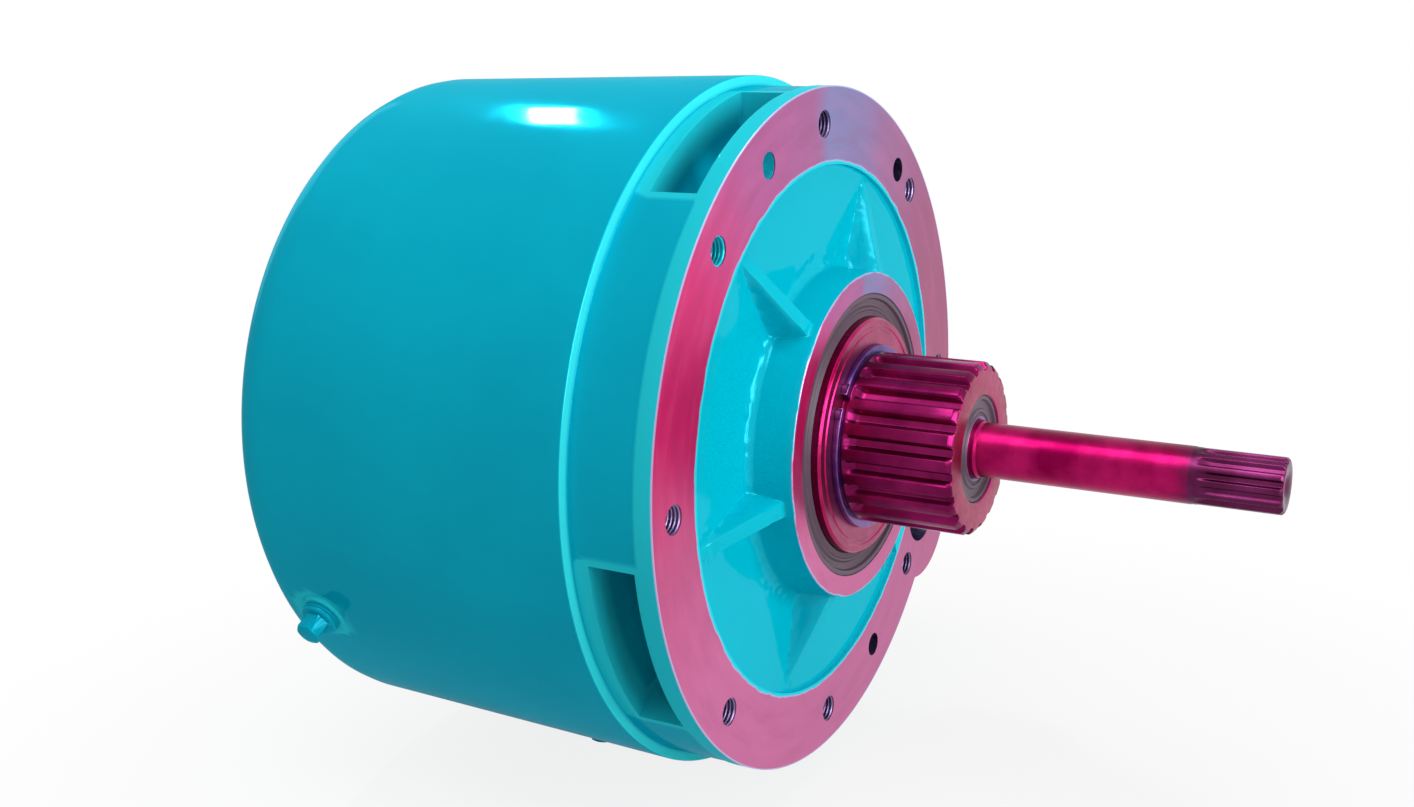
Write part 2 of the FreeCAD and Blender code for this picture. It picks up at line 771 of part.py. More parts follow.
def output_gear_key():
    """Parallel key under the output gear."""
    length = stage_3_face - 2 * side_gap
    start = output_gear_rear + side_gap
    return key_bar(start, start + length, output_front_bearing[0] / 2, output_key_w, output_key_h, MAIN)


def keyed_gear(gear, x_rear, x_front, bore_r, key):
    """Gear with a bore and a keyway."""
    body = gear.solid(x_rear, x_front)
    return body.cut([rod(x_rear - overlap, x_front + overlap, bore_r, gear.axis), key])


def second_layshaft():
    """Third-stage pinion shaft between the end wall and the bearing plate."""
    front_r = second_front_bearing[0] / 2
    rear_r = second_rear_bearing[0] / 2
    pinion_front = output_gear_front + pinion_extra / 2
    pinion_rear = output_gear_rear - pinion_extra / 2
    body = turned([
        (second_tail_x, 0.0),
        (second_tail_x, rear_r),
        (second_seat_rear - side_gap, rear_r),
        (second_seat_rear - side_gap, front_r),
        (second_front_seat - side_gap / 2, front_r),
        (second_front_seat - side_gap / 2, 0.0),
    ], SECOND)
    body = body.fuse(second_pinion.solid(pinion_rear, pinion_front))
    groove_r = rear_r - groove_depth
    groove = tube(second_gear_rear - circlip_t, second_gear_rear, groove_r, rear_r + overlap, SECOND)
    return body.cut([groove, second_gear_key()])


def second_gear_key():
    """Parallel key under the gear of the second layshaft."""
    length = stage_2_face - 2 * side_gap
    start = second_gear_rear + side_gap
    return key_bar(start, start + length, second_rear_bearing[0] / 2, small_key_w, small_key_h, SECOND)


def first_layshaft():
    """Second-stage pinion shaft between the bearing plate and the rear cover."""
    journal_r = first_front_bearing[0] / 2
    rear_journal_r = first_rear_bearing[0] / 2
    pinion_front = second_gear_front + pinion_extra / 2
    pinion_rear = second_gear_rear - pinion_extra / 2
    body = turned([
        (cover_seat_front - first_rear_bearing[2], 0.0),
        (cover_seat_front - first_rear_bearing[2], rear_journal_r),
        (cover_seat_front + side_gap, rear_journal_r),
        (cover_seat_front + side_gap, first_seat_d / 2),
        (first_gear_front, first_seat_d / 2),
        (first_gear_front, first_collar_d / 2),
        (pinion_rear, first_collar_d / 2),
        (pinion_rear, journal_r),
        (first_boss_rear + first_front_bearing[2] - side_gap / 2, journal_r),
        (first_boss_rear + first_front_bearing[2] - side_gap / 2, 0.0),
    ], FIRST)
    body = body.fuse(first_pinion.solid(pinion_rear, pinion_front))
    groove = tube(first_gear_rear - circlip_t, first_gear_rear, first_seat_d / 2 - groove_depth,
                  first_seat_d / 2 + overlap, FIRST)
    return body.cut([groove, first_gear_key()])


def first_gear_key():
    """Parallel key under the gear of the first layshaft."""
    length = stage_1_face - 2 * side_gap
    start = first_gear_rear + side_gap
    return key_bar(start, start + length, first_seat_d / 2, small_key_w, small_key_h, FIRST)


def input_shaft():
    """Long motor shaft with the first-stage pinion and a splined tip."""
    journal_r = input_journal_d / 2
    shaft_r = input_shaft_d / 2
    rear_r = input_rear_bearing[0] / 2
    pinion_front = first_gear_front + pinion_extra / 2
    pinion_rear = first_gear_rear - pinion_extra / 2
    spline_start = input_nose_x - input_spline_length
    body = turned([
        (cover_seat_front - input_rear_bearing[2], 0.0),
        (cover_seat_front - input_rear_bearing[2], rear_r),
        (cover_seat_front, rear_r),
        (cover_seat_front, shaft_r),
        (pinion_rear, shaft_r),
        (pinion_rear, journal_r),
        (output_tail_x + input_front_bearing[2] + side_gap, journal_r),
        (output_tail_x + input_front_bearing[2] + side_gap, shaft_r),
        (input_seal_rear - side_gap, shaft_r),
        (input_seal_rear - side_gap, journal_r),
        (output_nose_x + side_gap, journal_r),
        (output_nose_x + side_gap, shaft_r),
        (spline_start, shaft_r),
        (spline_start, 0.0),
    ])
    body = body.fuse(input_pinion.solid(pinion_rear, pinion_front))
    tip = spline(spline_start, input_nose_x, input_spline_teeth, input_spline_tip_d,
                 input_spline_root_d, input_spline_tip_t, input_spline_root_t, input_spline_chamfer)
    return body.fuse(tip)


def seal_sleeve():
    """Ground sleeve that the output seal runs on."""
    return turned([
        (front_bearing_front, output_front_bearing[0] / 2),
        (front_bearing_front, sleeve_d / 2),
        (sleeve_front - sleeve_chamfer, sleeve_d / 2),
        (sleeve_front, sleeve_d / 2 - sleeve_chamfer),
        (sleeve_front, output_front_bearing[0] / 2),
    ])


def seal_ring(x_rear, x_front, r_in, r_out, case_t, lip_t):
    """Lip seal: stiff outer case, thin web and a lip on the shaft."""
    web_front = x_front - (x_front - x_rear) / 4
    return turned([
        (x_rear, r_in + running_clearance),
        (x_rear, r_out),
        (x_front, r_out),
        (x_front, r_out - case_t),
        (web_front, r_out - case_t - seal_lip_h),
        (web_front, r_in + lip_t),
        (x_front - seal_lip_h, r_in + running_clearance),
    ])


def breather():
    """Vent plug in the top of the rear cover."""
    seat_x = cover_rear
    body = rod(seat_x, cover_front, breather_d / 2, BREATHER)
    head = hexagon(seat_x - breather_h / 2, seat_x, breather_af, BREATHER)
    cap = rod(seat_x - breather_h, seat_x - breather_h / 2, breather_af / 2 - overlap, BREATHER)
    return body.fuse([head, cap])


output_key = output_gear_key()
second_key = second_gear_key()
first_key = first_gear_key()
front_outer, front_inner = bearing_rings(front_bearing_rear, output_front_bearing)
rear_outer, rear_inner = bearing_rings(output_rear_bearing_rear, output_rear_bearing)
input_outer, input_inner = bearing_rings(cover_seat_front - input_rear_bearing[2], input_rear_bearing)
level_washer, level_plug = plug_parts(level_plug_x, level_plug_angle)[2:]
drain_washer, drain_plug = plug_parts(drain_plug_x, drain_plug_angle)[2:]
seat_r = output_front_bearing[0] / 2
tail_r = output_rear_bearing[0] / 2
rear_r = second_rear_bearing[0] / 2
bearing_r = output_front_bearing[1] / 2
cover_tip = cover_front + screw_grip
plate_tip = plate_front + screw_grip
spacer_rear = plate_front - bearing_shoulder
first_ring_r = first_seat_d / 2

nodes = {
    "main_housing": main_housing(),
    "rear_cover": rear_cover(),
    "rear_cover_gasket": rear_cover_gasket(),
    "rear_cover_bolts": hex_screws(cover_rear, cover_tip, cover_bolt_circle_d, cover_bolt_count, 0.0),
    "bearing_plate": bearing_plate(),
    "bearing_plate_screws": hex_screws(
        plate_rear, plate_tip, pillar_circle_d, pillar_count, pillar_first_angle,
    ),
    "oil_level_plug": level_plug,
    "drain_plug": drain_plug,
    "plug_sealing_washers": Part.makeCompound([level_washer, drain_washer]),
    "breather": breather(),
    "output_seal": seal_ring(
        boss_proud - output_seal_w, boss_proud - output_seal_sunk, sleeve_d / 2, output_seal_d / 2,
        output_seal_case_t, output_seal_lip_t,
    ),
    "bearing_retaining_ring": c_ring(
        front_bearing_front, front_bearing_front + case_ring_t,
        bearing_r + groove_depth - case_ring_h, bearing_r + groove_depth, snap_ring_gap,
    ),
    "output_bearing_outer_rings": Part.makeCompound([front_outer, rear_outer]),
    "output_bearing_inner_rings": Part.makeCompound([front_inner, rear_inner]),
    "layshaft_bearing_cups": Part.makeCompound([
        needle_cup(second_seat_rear, second_front_bearing, SECOND),
        needle_cup(plate_rear, second_rear_bearing, SECOND),
        needle_cup(first_boss_rear, first_front_bearing, FIRST),
        needle_cup(cover_seat_front - first_rear_bearing[2], first_rear_bearing, FIRST),
    ]),
    "input_rear_bearing_outer": input_outer,
    "input_rear_bearing_inner": input_inner,
    "input_front_bearing": needle_cup(output_tail_x, input_front_bearing),
    "output_shaft": output_shaft(),
    "seal_sleeve": seal_sleeve(),
    "output_snap_ring": c_ring(
        sleeve_front, snap_ring_front, seat_r - groove_depth, seat_r + snap_ring_h, snap_ring_gap,
    ),
    "input_seal": seal_ring(
        input_seal_rear, input_seal_rear + input_seal_w, input_journal_d / 2, input_seal_d / 2,
        input_seal_case_t, input_seal_lip_t,
    ),
    "output_gear": keyed_gear(output_gear, output_gear_rear, output_gear_front, seat_r, output_key),
    "output_gear_key": output_key,
    "output_gear_front_spacer": tube(
        output_gear_front, front_bearing_rear - collar_t, seat_r, seat_r + spacer_h,
    ),
    "output_gear_rear_spacer": turned([
        (spacer_rear, tail_r),
        (spacer_rear, tail_r + spacer_h),
        (plate_front + side_gap, tail_r + spacer_h),
        (plate_front + side_gap, seat_r + spacer_h),
        (output_gear_rear, seat_r + spacer_h),
        (output_gear_rear, tail_r),
    ]),
    "output_shaft_circlip": c_ring(
        circlip_rear, circlip_rear + circlip_t, tail_r - groove_depth, tail_r + circlip_h,
        snap_ring_gap,
    ),
    "second_layshaft": second_layshaft(),
    "second_layshaft_gear": keyed_gear(
        second_gear, second_gear_rear, second_gear_front, rear_r, second_key,
    ),
    "second_layshaft_key": second_key,
    "second_layshaft_spacer": tube(
        second_gear_front, plate_rear - side_gap, rear_r, rear_r + layshaft_spacer_h, SECOND,
    ),
    "second_layshaft_circlip": c_ring(
        second_gear_rear - circlip_t, second_gear_rear, rear_r - groove_depth, rear_r + circlip_h,
        snap_ring_gap, SECOND,
    ),
    "first_layshaft": first_layshaft(),
    "first_layshaft_gear": keyed_gear(
        first_gear, first_gear_rear, first_gear_front, first_seat_d / 2, first_key,
    ),
    "first_layshaft_key": first_key,
    "first_layshaft_circlip": c_ring(
        first_gear_rear - circlip_t, first_gear_rear, first_ring_r - groove_depth,
        first_ring_r + circlip_h, snap_ring_gap, FIRST,
    ),
    "input_shaft": input_shaft(),
}

for name, shape in nodes.items():
    shape.exportStep("parts/" + name + ".step")
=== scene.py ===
# Hoist gearbox: the finish and the fine shapes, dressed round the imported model.
# Piece sizes are in millimetres and turned into metres by mm; clock 0 is towards the viewer (-Y), 90 is up.
import bpy
import json
import math
from mathutils import Matrix, Quaternion, Vector, noise


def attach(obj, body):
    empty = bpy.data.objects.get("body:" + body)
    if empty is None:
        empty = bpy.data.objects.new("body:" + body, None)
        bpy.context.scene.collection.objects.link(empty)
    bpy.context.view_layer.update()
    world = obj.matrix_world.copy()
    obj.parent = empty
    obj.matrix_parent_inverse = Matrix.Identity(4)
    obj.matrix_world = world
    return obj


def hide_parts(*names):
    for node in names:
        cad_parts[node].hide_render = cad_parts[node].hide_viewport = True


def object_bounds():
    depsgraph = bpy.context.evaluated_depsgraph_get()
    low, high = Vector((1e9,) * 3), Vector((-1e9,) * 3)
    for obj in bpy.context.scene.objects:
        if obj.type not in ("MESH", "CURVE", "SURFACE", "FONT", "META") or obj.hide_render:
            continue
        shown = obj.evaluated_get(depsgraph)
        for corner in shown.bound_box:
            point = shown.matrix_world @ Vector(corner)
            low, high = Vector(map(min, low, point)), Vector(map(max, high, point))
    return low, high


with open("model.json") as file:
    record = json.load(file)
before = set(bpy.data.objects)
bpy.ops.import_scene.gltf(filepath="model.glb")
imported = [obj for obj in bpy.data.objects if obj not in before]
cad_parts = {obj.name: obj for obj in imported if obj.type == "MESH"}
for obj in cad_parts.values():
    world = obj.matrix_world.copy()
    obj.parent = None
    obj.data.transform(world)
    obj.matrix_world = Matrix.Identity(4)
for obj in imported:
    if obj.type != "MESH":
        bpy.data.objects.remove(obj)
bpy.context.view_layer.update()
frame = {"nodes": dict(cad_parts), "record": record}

cadNodes = frame["nodes"]
mm = 0.001
tiny = 0.1    # millimetres between places that count as the same
origin = (0.0, 0.0, 0.0)
print("frame: loaded", len(cadNodes), "nodes")

shot = {
    "place": (0.3482, -0.7534, 0.1933),
    "azimuth": 29.23,
    "elevation": 12.18,
    "lens": 40.43,
    "sensor": 36.0,
    "clipStart": 0.01,
}


def newObject(name, data):
    made = bpy.data.objects.new(name, data)
    bpy.context.scene.collection.objects.link(made)
    return made


def placeCamera():
    azimuth = math.radians(shot["azimuth"])
    elevation = math.radians(shot["elevation"])
    back = Vector((math.sin(azimuth) * math.cos(elevation), -math.cos(azimuth) * math.cos(elevation),
                   math.sin(elevation)))
    lensData = bpy.data.cameras.new("camera")
    lensData.lens = shot["lens"]
    lensData.sensor_width = shot["sensor"]
    lensData.clip_start = shot["clipStart"]
    camera = newObject("camera", lensData)
    camera.location = shot["place"]
    camera.rotation_mode = "QUATERNION"
    camera.rotation_quaternion = (-back).to_track_quat("-Z", "Y")
    bpy.context.scene.camera = camera


placeCamera()

# small helpers for places and smooth joins


def polar(radius, clock, x=0.0):
    turn = math.radians(clock)
    return Vector((x, -radius * math.cos(turn), radius * math.sin(turn))) * mm


def clockOf(point):
    return math.degrees(math.atan2(point.z, -point.y))


def radiusOf(point):
    return math.hypot(point.y, point.z) / mm


def around(count, first):
    return [first + 360.0 * i / count for i in range(count)]


def offsetFrom(clock, centre):
    return (clock - centre + 180.0) % 360.0 - 180.0


def nearest(clock, clocks):
    return min((offsetFrom(clock, c) for c in clocks), key=abs)


def smoothMax(a, b, blend):
    overlap = max(blend - abs(a - b), 0.0) / blend
    return max(a, b) + overlap * overlap * blend / 4


def smoothMin(a, b, blend):
    return -smoothMax(-a, -b, blend)


def smoothStep(value, low, high):
    share = min(max((value - low) / (high - low), 0.0), 1.0)
    return share * share * (3 - 2 * share)


def softened(corners, steps, closed=True):
    # corners are (x, radius) or (x, radius, rounding)
    outline = []
    for i, corner in enumerate(corners):
        here = Vector(corner[:2])
        size = corner[2] if len(corner) > 2 else 0.0
        if size == 0.0 or (not closed and i in (0, len(corners) - 1)):
            outline.append(here)
            continue
        before = (Vector(corners[i - 1][:2]) - here).normalized()
        after = (Vector(corners[(i + 1) % len(corners)][:2]) - here).normalized()
        half = before.angle(after) / 2
        middle = here + (before + after).normalized() * (size / math.sin(half))
        start = here + before * (size / math.tan(half)) - middle
        end = here + after * (size / math.tan(half)) - middle
        sweep = start.angle(end)
        for k in range(steps + 1):
            share = k / steps
            arm = start * math.sin((1 - share) * sweep) + end * math.sin(share * sweep)
            outline.append(middle + arm / math.sin(sweep))
    return outline


def densified(outline, longest, inside):
    # more rows where inside(a, b) is true, so that later moves have vertices to work on
    dense = []
    for a, b in zip(outline, outline[1:] + outline[:1]):
        dense.append(a)
        if inside(a, b):
            pieces = max(1, math.ceil((b - a).length / longest))
            dense += [a.lerp(b, k / pieces) for k in range(1, pieces)]
    return dense


# modelling helpers


def clearSelection():
    bpy.ops.object.select_all(action="DESELECT")


def openEdit():
    bpy.ops.object.mode_set(mode="EDIT")


def activate(piece):
    clearSelection()
    bpy.context.view_layer.objects.active = piece
    piece.select_set(True)


def startEdit(piece, mode="VERT"):
    activate(piece)
    openEdit()
    bpy.ops.mesh.select_mode(type=mode)
    bpy.ops.mesh.select_all(action="DESELECT")


def endEdit():
    bpy.ops.object.mode_set(mode="OBJECT")


def endOutward():
    bpy.ops.mesh.normals_make_consistent(inside=False)
    endEdit()


def selectAll():
    bpy.ops.mesh.select_all(action="SELECT")


def pickFaces(piece, wanted):
    startEdit(piece, "FACE")
    endEdit()
    for face in piece.data.polygons:
        face.select = wanted(face)
    openEdit()


def pickEdges(piece, wanted):
    startEdit(piece, "EDGE")
    endEdit()
    points = piece.data.vertices
    for edge in piece.data.edges:
        edge.select = wanted(points[edge.vertices[0]].co, points[edge.vertices[1]].co)
    openEdit()


def named(name):
    piece = bpy.context.object
    piece.name = name
    piece.data.name = name
    return piece


def lathe(name, outline, steps, closed=True):
    # a profile of (x, radius) is drawn vertex by vertex and spun about the X axis
    outline = [Vector(corner) for corner in outline]
    clearSelection()
    bpy.ops.mesh.primitive_plane_add(size=mm, location=origin)
    piece = named(name)
    openEdit()
    bpy.ops.mesh.select_mode(type="VERT")
    bpy.ops.mesh.merge(type="CENTER")
    bpy.ops.transform.translate(value=(outline[0][0] * mm, 0, outline[0][1] * mm))
    following = outline[1:] + outline[:1] if closed else outline[1:]
    for a, b in zip(outline, following):
        step = ((b[0] - a[0]) * mm, 0, (b[1] - a[1]) * mm)
        bpy.ops.mesh.extrude_region_move(TRANSFORM_OT_translate={"value": step})
    selectAll()
    bpy.ops.mesh.spin(steps=steps, angle=2 * math.pi, center=origin, axis=(1, 0, 0), use_auto_merge=True)
    selectAll()
    bpy.ops.mesh.remove_doubles(threshold=1e-6)
    endOutward()
    return piece


def turned(name, corners, rounding, steps, closed=True):
    # a lathed piece with each corner's rounding in so many steps
    return lathe(name, softened(corners, rounding, closed), steps, closed)


def loopBody(name, clocks, rows, closed=True):
    # closed loops of vertices, extruded one from the next; a row is (x, radius at each clock)
    clearSelection()
    bpy.ops.mesh.primitive_circle_add(vertices=len(clocks), radius=mm, location=origin)
    piece = named(name)
    openEdit()
    bpy.ops.mesh.select_mode(type="VERT")
    selectAll()
    for _ in rows[1:]:
        bpy.ops.mesh.extrude_region_move(TRANSFORM_OT_translate={"value": (mm, 0, 0)})
    endEdit()
    count = len(clocks)
    for i, vertex in enumerate(piece.data.vertices):
        x, radii = rows[i // count]
        vertex.co = polar(radii[i % count], clocks[i % count], x)
    openEdit()
    bpy.ops.mesh.select_mode(type="EDGE")
    bpy.ops.mesh.select_all(action="DESELECT")
    bpy.ops.mesh.select_non_manifold()
    if closed:
        bpy.ops.mesh.bridge_edge_loops()
    else:
        bpy.ops.mesh.fill_holes(sides=0)
    selectAll()
    endOutward()
    return piece


def bar(name, sides, radius, start, end, middle=origin):
    # prism along X between two planes in millimetres, centred on middle in metres
    clearSelection()
    centre = (middle[0] + (start + end) / 2 * mm, middle[1], middle[2])
    bpy.ops.mesh.primitive_cylinder_add(vertices=sides, radius=radius * mm, depth=abs(end - start) * mm,
                                        location=centre, rotation=(0, math.pi / 2, 0))
    piece = named(name)
    settle(piece)
    return piece


def settle(piece):
    # place, turn and scale go into the mesh
    activate(piece)
    bpy.ops.object.transform_apply(location=True, rotation=True, scale=True)


def moveTo(piece, point, direction):
    # a piece built along +X from the origin goes to a point, along a direction
    turn = Vector((1, 0, 0)).rotation_difference(direction)
    piece.data.transform(Matrix.Translation(point) @ turn.to_matrix().to_4x4())


def copyOf(piece, name):
    return newObject(name, piece.data.copy())


def joined(pieces, name):
    clearSelection()
    for piece in pieces:
        piece.select_set(True)
    bpy.context.view_layer.objects.active = pieces[0]
    bpy.ops.object.join()
    return named(name)


def finishModifier(piece, kind, **settings):
    modifier = piece.modifiers.new(kind.lower(), kind)
    for key, value in settings.items():
        setattr(modifier, key, value)
    activate(piece)
    bpy.ops.object.modifier_apply(modifier=modifier.name)


def boolean(piece, tool, operation):
    finishModifier(piece, "BOOLEAN", object=tool, operation=operation, solver="EXACT")
    bpy.data.objects.remove(tool)


def roundEdges(piece, width, segments=2, angle=32.0):
    finishModifier(piece, "BEVEL", width=width * mm, segments=segments, limit_method="ANGLE",
                   angle_limit=math.radians(angle), use_clamp_overlap=True)


def shade(piece, angle=34.0):
    activate(piece)
    bpy.ops.object.shade_smooth_by_angle(angle=math.radians(angle))


def dress(piece, body, materials, slot, *replaced):
    piece.data.materials.clear()
    for material in materials:
        piece.data.materials.append(material)
    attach(piece, body)
    if replaced:
        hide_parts(*replaced)


def accent(piece, wanted):
    # some faces take the piece's second material
    for face in piece.data.polygons:
        if wanted(face):
            face.material_index = 1


# materials; current holds the node tree that is being built

current = {}


def feed(node, values):
    # each socket, by name or number, takes a constant or the output of another node
    for key, value in values.items():
        if isinstance(value, bpy.types.NodeSocket):
            node.id_data.links.new(value, node.inputs[key])
        else:
            node.inputs[key].default_value = value


def startMaterial(name, values=None):
    material = bpy.data.materials.new(name)
    material.use_nodes = True
    current["tree"] = material.node_tree
    shader = current["tree"].nodes["Principled BSDF"]
    feed(shader, values or {})
    return material, shader


def add(kind, **settings):
    made = current["tree"].nodes.new("ShaderNode" + kind)
    for key, value in settings.items():
        setattr(made, key, value)
    return made


def calculate(operation, *values):
    made = add("Math", operation=operation)
    feed(made, dict(enumerate(values)))
    return made.outputs[0]


def times(first, second):
    return calculate("MULTIPLY", first, second)


def spread(value, low, high, fromLow=0.0, fromHigh=1.0, kind="LINEAR"):
    made = add("MapRange", interpolation_type=kind)
    feed(made, {"Value": value, "From Min": fromLow, "From Max": fromHigh, "To Min": low, "To Max": high})
    return made.outputs["Result"]


def mixColour(share, first, second):
    made = add("MixRGB")
    values = [(*value, 1.0) if isinstance(value, tuple) else value for value in (share, first, second)]
    feed(made, dict(enumerate(values)))
    return made.outputs["Color"]


def showMix(share, first, second):
    # two shaders, mixed by a share, make the surface
    blend = add("MixShader")
    feed(blend, {0: share, 1: first.outputs[0], 2: second.outputs[0]})
    feed(current["tree"].nodes["Material Output"], {"Surface": blend.outputs[0]})


def coordinates(stretch=(1.0, 1.0, 1.0)):
    mapping = add("Mapping")
    feed(mapping, {"Vector": add("TexCoord").outputs["Object"], "Scale": stretch})
    return mapping.outputs["Vector"]


def split():
    parts = add("SeparateXYZ")
    feed(parts, {0: coordinates()})
    return parts.outputs


def cloud(scale, detail=3.0, rough=0.55, where=None):
    made = add("TexNoise")
    where = where or coordinates()
    feed(made, {"Vector": where, "Scale": scale, "Detail": detail, "Roughness": rough})
    return made.outputs["Fac"]


def bumps(layers):
    # layers of (height, depth in millimetres), one on the other
    below = {}
    for height, depth in layers:
        made = add("Bump")
        feed(made, {"Distance": depth * mm, "Height": height, **below})
        below = {"Normal": made.outputs["Normal"]}
    return below["Normal"]


def axisPlace():
    # x and radius in metres, and the clock as a share of the turn
    x, y, z = split()
    radius = calculate("SQRT", calculate("ADD", times(y, y), times(z, z)))
    turn = calculate("ARCTAN2", z, times(y, -1.0))
    return x, radius, spread(turn, 0.0, 1.0, -math.pi, math.pi)


def ramp(value, stops):
    made = add("ValToRGB")
    elements = made.color_ramp.elements
    while len(elements) > 1:
        elements.remove(elements[-1])
    for i, (position, colour) in enumerate(stops):
        element = elements[0] if i == 0 else elements.new(position)
        element.position = position
        element.color = (*colour, 1.0)
    feed(made, {"Fac": value})
    return made.outputs["Color"]


enamelLook = {
    "colour": (0.0, 0.43, 0.60), "light": (0.0, 0.47, 0.64), "dark": (0.0, 0.385, 0.55),
    # edge is the colour of the painted highlight on sharp edges
    "edge": (0.02, 0.66, 0.76), "paintedShade": (0.0, 0.012, 0.03), "casting": (0.0, 0.50, 0.60),
    # step is the colour of the painted highlight on the shoulder
    "step": (0.05, 0.88, 0.90), "tint": (0.1, 0.9, 1.0, 1.0), "shine": 0.1, "varnish": 0.06,
    "thickVarnish": 0.14, "varnishRough": 0.06, "rough": (0.09, 0.15), "roughGrain": 60.0,
    "patchGrain": 9.0, "patchSpan": (0.35, 0.65), "evenShare": 0.45, "edgeHighlightShare": 0.8,
    "edgeHighlightSpan": (0.53, 0.62), "wave": 0.12, "waveGrain": 34.0, "peel": 0.008, "peelGrain": 420.0,
    "castShare": 0.6, "castGrain": 130.0, "paintedShadeShare": 0.93, "pocketBumps": 0.9, "pocketGrain": 300.0,
    "highlightX": -0.0453, "highlightShare": 0.85, "highlightSpan": (0.0002, 0.0005),
}


def enamelShader(shader, wave, cast, windowShade=None, step=None):
    # glossy enamel whose shine keeps its own hue; wave and cast are bump depths in millimetres;
    # windowShade is the share of painted shade in the windows, step that of the painted highlight on the
    # shoulder behind the neck
    look = enamelLook
    patches = spread(cloud(look["patchGrain"], 4.0), 0.0, 1.0, *look["patchSpan"])
    tone = mixColour(patches, look["dark"], look["light"])
    tone = mixColour(look["evenShare"], tone, look["colour"])
    # painted highlight: sharp edges of the enamel turn a lighter cyan
    edgeHighlight = add("NewGeometry").outputs["Pointiness"]
    tone = mixColour(spread(edgeHighlight, 0.0, look["edgeHighlightShare"], *look["edgeHighlightSpan"]), tone, look["edge"])
    peel = cloud(look["peelGrain"], 1.0)
    layers = [(cloud(look["waveGrain"], 2.0), wave), (peel, look["peel"])]
    if cast:
        tone = mixColour(look["castShare"], tone, look["casting"])
        layers.insert(0, (cloud(look["castGrain"], 5.0, 0.7), cast))
    # painted highlight along the shoulder's step
    if step is not None:
        tone = mixColour(step, tone, look["step"])
    if windowShade is not None:
        # painted shade in the windows, with grit bumps that follow it
        tone = mixColour(times(windowShade, look["paintedShadeShare"]), tone, look["paintedShade"])
        grit = times(cloud(look["pocketGrain"], 4.0, 0.7), windowShade)
        layers.insert(0, (grit, look["pocketBumps"]))
    feed(shader, {
        "Metallic": look["shine"], "Specular IOR Level": 0.0, "Specular Tint": look["tint"],
        "Coat Weight": look["thickVarnish"] if cast else look["varnish"],
        "Coat Roughness": look["varnishRough"], "Base Color": tone,
        "Roughness": spread(cloud(look["roughGrain"], 2.0), *look["rough"]),
        "Normal": bumps(layers),
    })


def enamel(name, wave=enamelLook["wave"]):
    material, shader = startMaterial(name)
    enamelShader(shader, wave, 0.0)
    return material


machinedLook = {
    "reflectionByClock": [
        (0.000, (0.37, 0.075, 0.165)), (0.120, (0.50, 0.110, 0.290)), (0.400, (0.60, 0.135, 0.335)),
        (0.468, (0.54, 0.075, 0.225)), (0.530, (0.70, 0.010, 0.150)), (0.600, (0.66, 0.022, 0.180)),
        (0.660, (0.46, 0.095, 0.300)), (0.735, (0.38, 0.115, 0.305)), (0.750, (0.22, 0.215, 0.455)),
        (0.785, (0.25, 0.185, 0.420)), (0.825, (0.35, 0.130, 0.310)), (0.900, (0.36, 0.080, 0.205)),
        (1.000, (0.37, 0.075, 0.165)),
    ],
    # chamferHighlightTone, chamferHighlightShare, chamferHighlightSpan and rimHighlightSpan set the painted
    # highlight along the face's edges
    "chamferHighlightTone": (0.46, 0.50, 0.80), "smearTone": (0.70, 0.22, 0.42), "stainTone": (0.28, 0.03, 0.12),
    "smearScale": (30.0, 120.0), "wander": 0.02, "rough": (0.34, 0.46), "turning": 2400.0,
    "turningDepth": 0.008, "dentGrain": 90.0, "dentDepth": 0.02, "metallic": 0.8, "faceX": -0.0007,
    "bossFaceX": 0.0214, "paintEdge": 0.1425, "bossPaintEdge": 0.0862, "creep": 0.0016, "creepGrain": 70.0,
    "soft": 0.00025, "chamferHighlightShare": 0.8, "chamferHighlightSpan": (0.0003, 0.0011), "rimHighlightSpan": (0.1802, 0.1806),
    "earSpan": (0.082, 0.045),
}


def machinedTone(radius, clock):
    # turned steel whose pink shifts to violet and magenta round the face, a painted reflection, with faint
    # smears
    look = machinedLook
    smear = add("CombineXYZ")
    along, across = look["smearScale"]
    feed(smear, {0: times(clock, along), 1: times(radius, across)})
    streak = cloud(1.0, 3.0, 0.5, smear.outputs[0])
    shift = spread(cloud(14.0, 2.0), -look["wander"], look["wander"])
    # painted reflection: the tone follows the clock round the face
    tone = ramp(calculate("ADD", clock, shift), look["reflectionByClock"])
    tone = mixColour(spread(streak, 0.0, 0.16, 0.5, 0.75), tone, look["smearTone"])
    return mixColour(spread(streak, 0.0, 0.2, 0.5, 0.28), tone, look["stainTone"]), streak


def machinedShader(shader, radius, clock, edge):
    look = machinedLook
    tone, streak = machinedTone(radius, clock)
    rings = add("TexNoise", noise_dimensions="1D")
    feed(rings, {"Scale": look["turning"], "W": radius})
    dents = cloud(look["dentGrain"], 3.0)
    feed(shader, {
        "Metallic": look["metallic"],
        # painted highlight: a pale line along the face's edges
        "Base Color": mixColour(edge, tone, look["chamferHighlightTone"]),
        "Roughness": spread(streak, *look["rough"]),
        "Normal": bumps([(rings.outputs["Fac"], look["turningDepth"]), (dents, look["dentDepth"])]),
    })


def pocketShade(x, radius):
    # painted shade in the windows: darker towards the flange, at the floor and low on the housing
    w = windows
    low = spread(radius, 1.0, 0.0, w["floor"] * mm, w["shadeFromR"] * mm)
    forward = spread(x, 0.0, 1.0, w["back"] * mm, w["darkFrom"] * mm)
    below = spread(split()[2], 1.0, w["highShade"], *w["shadeZ"])
    inside = calculate("LESS_THAN", x, (w["front"] + tiny) * mm)
    paintedShade = times(times(low, forward), times(below, inside))
    return spread(paintedShade, 0.0, 1.0, 0.0, w["fullAt"])


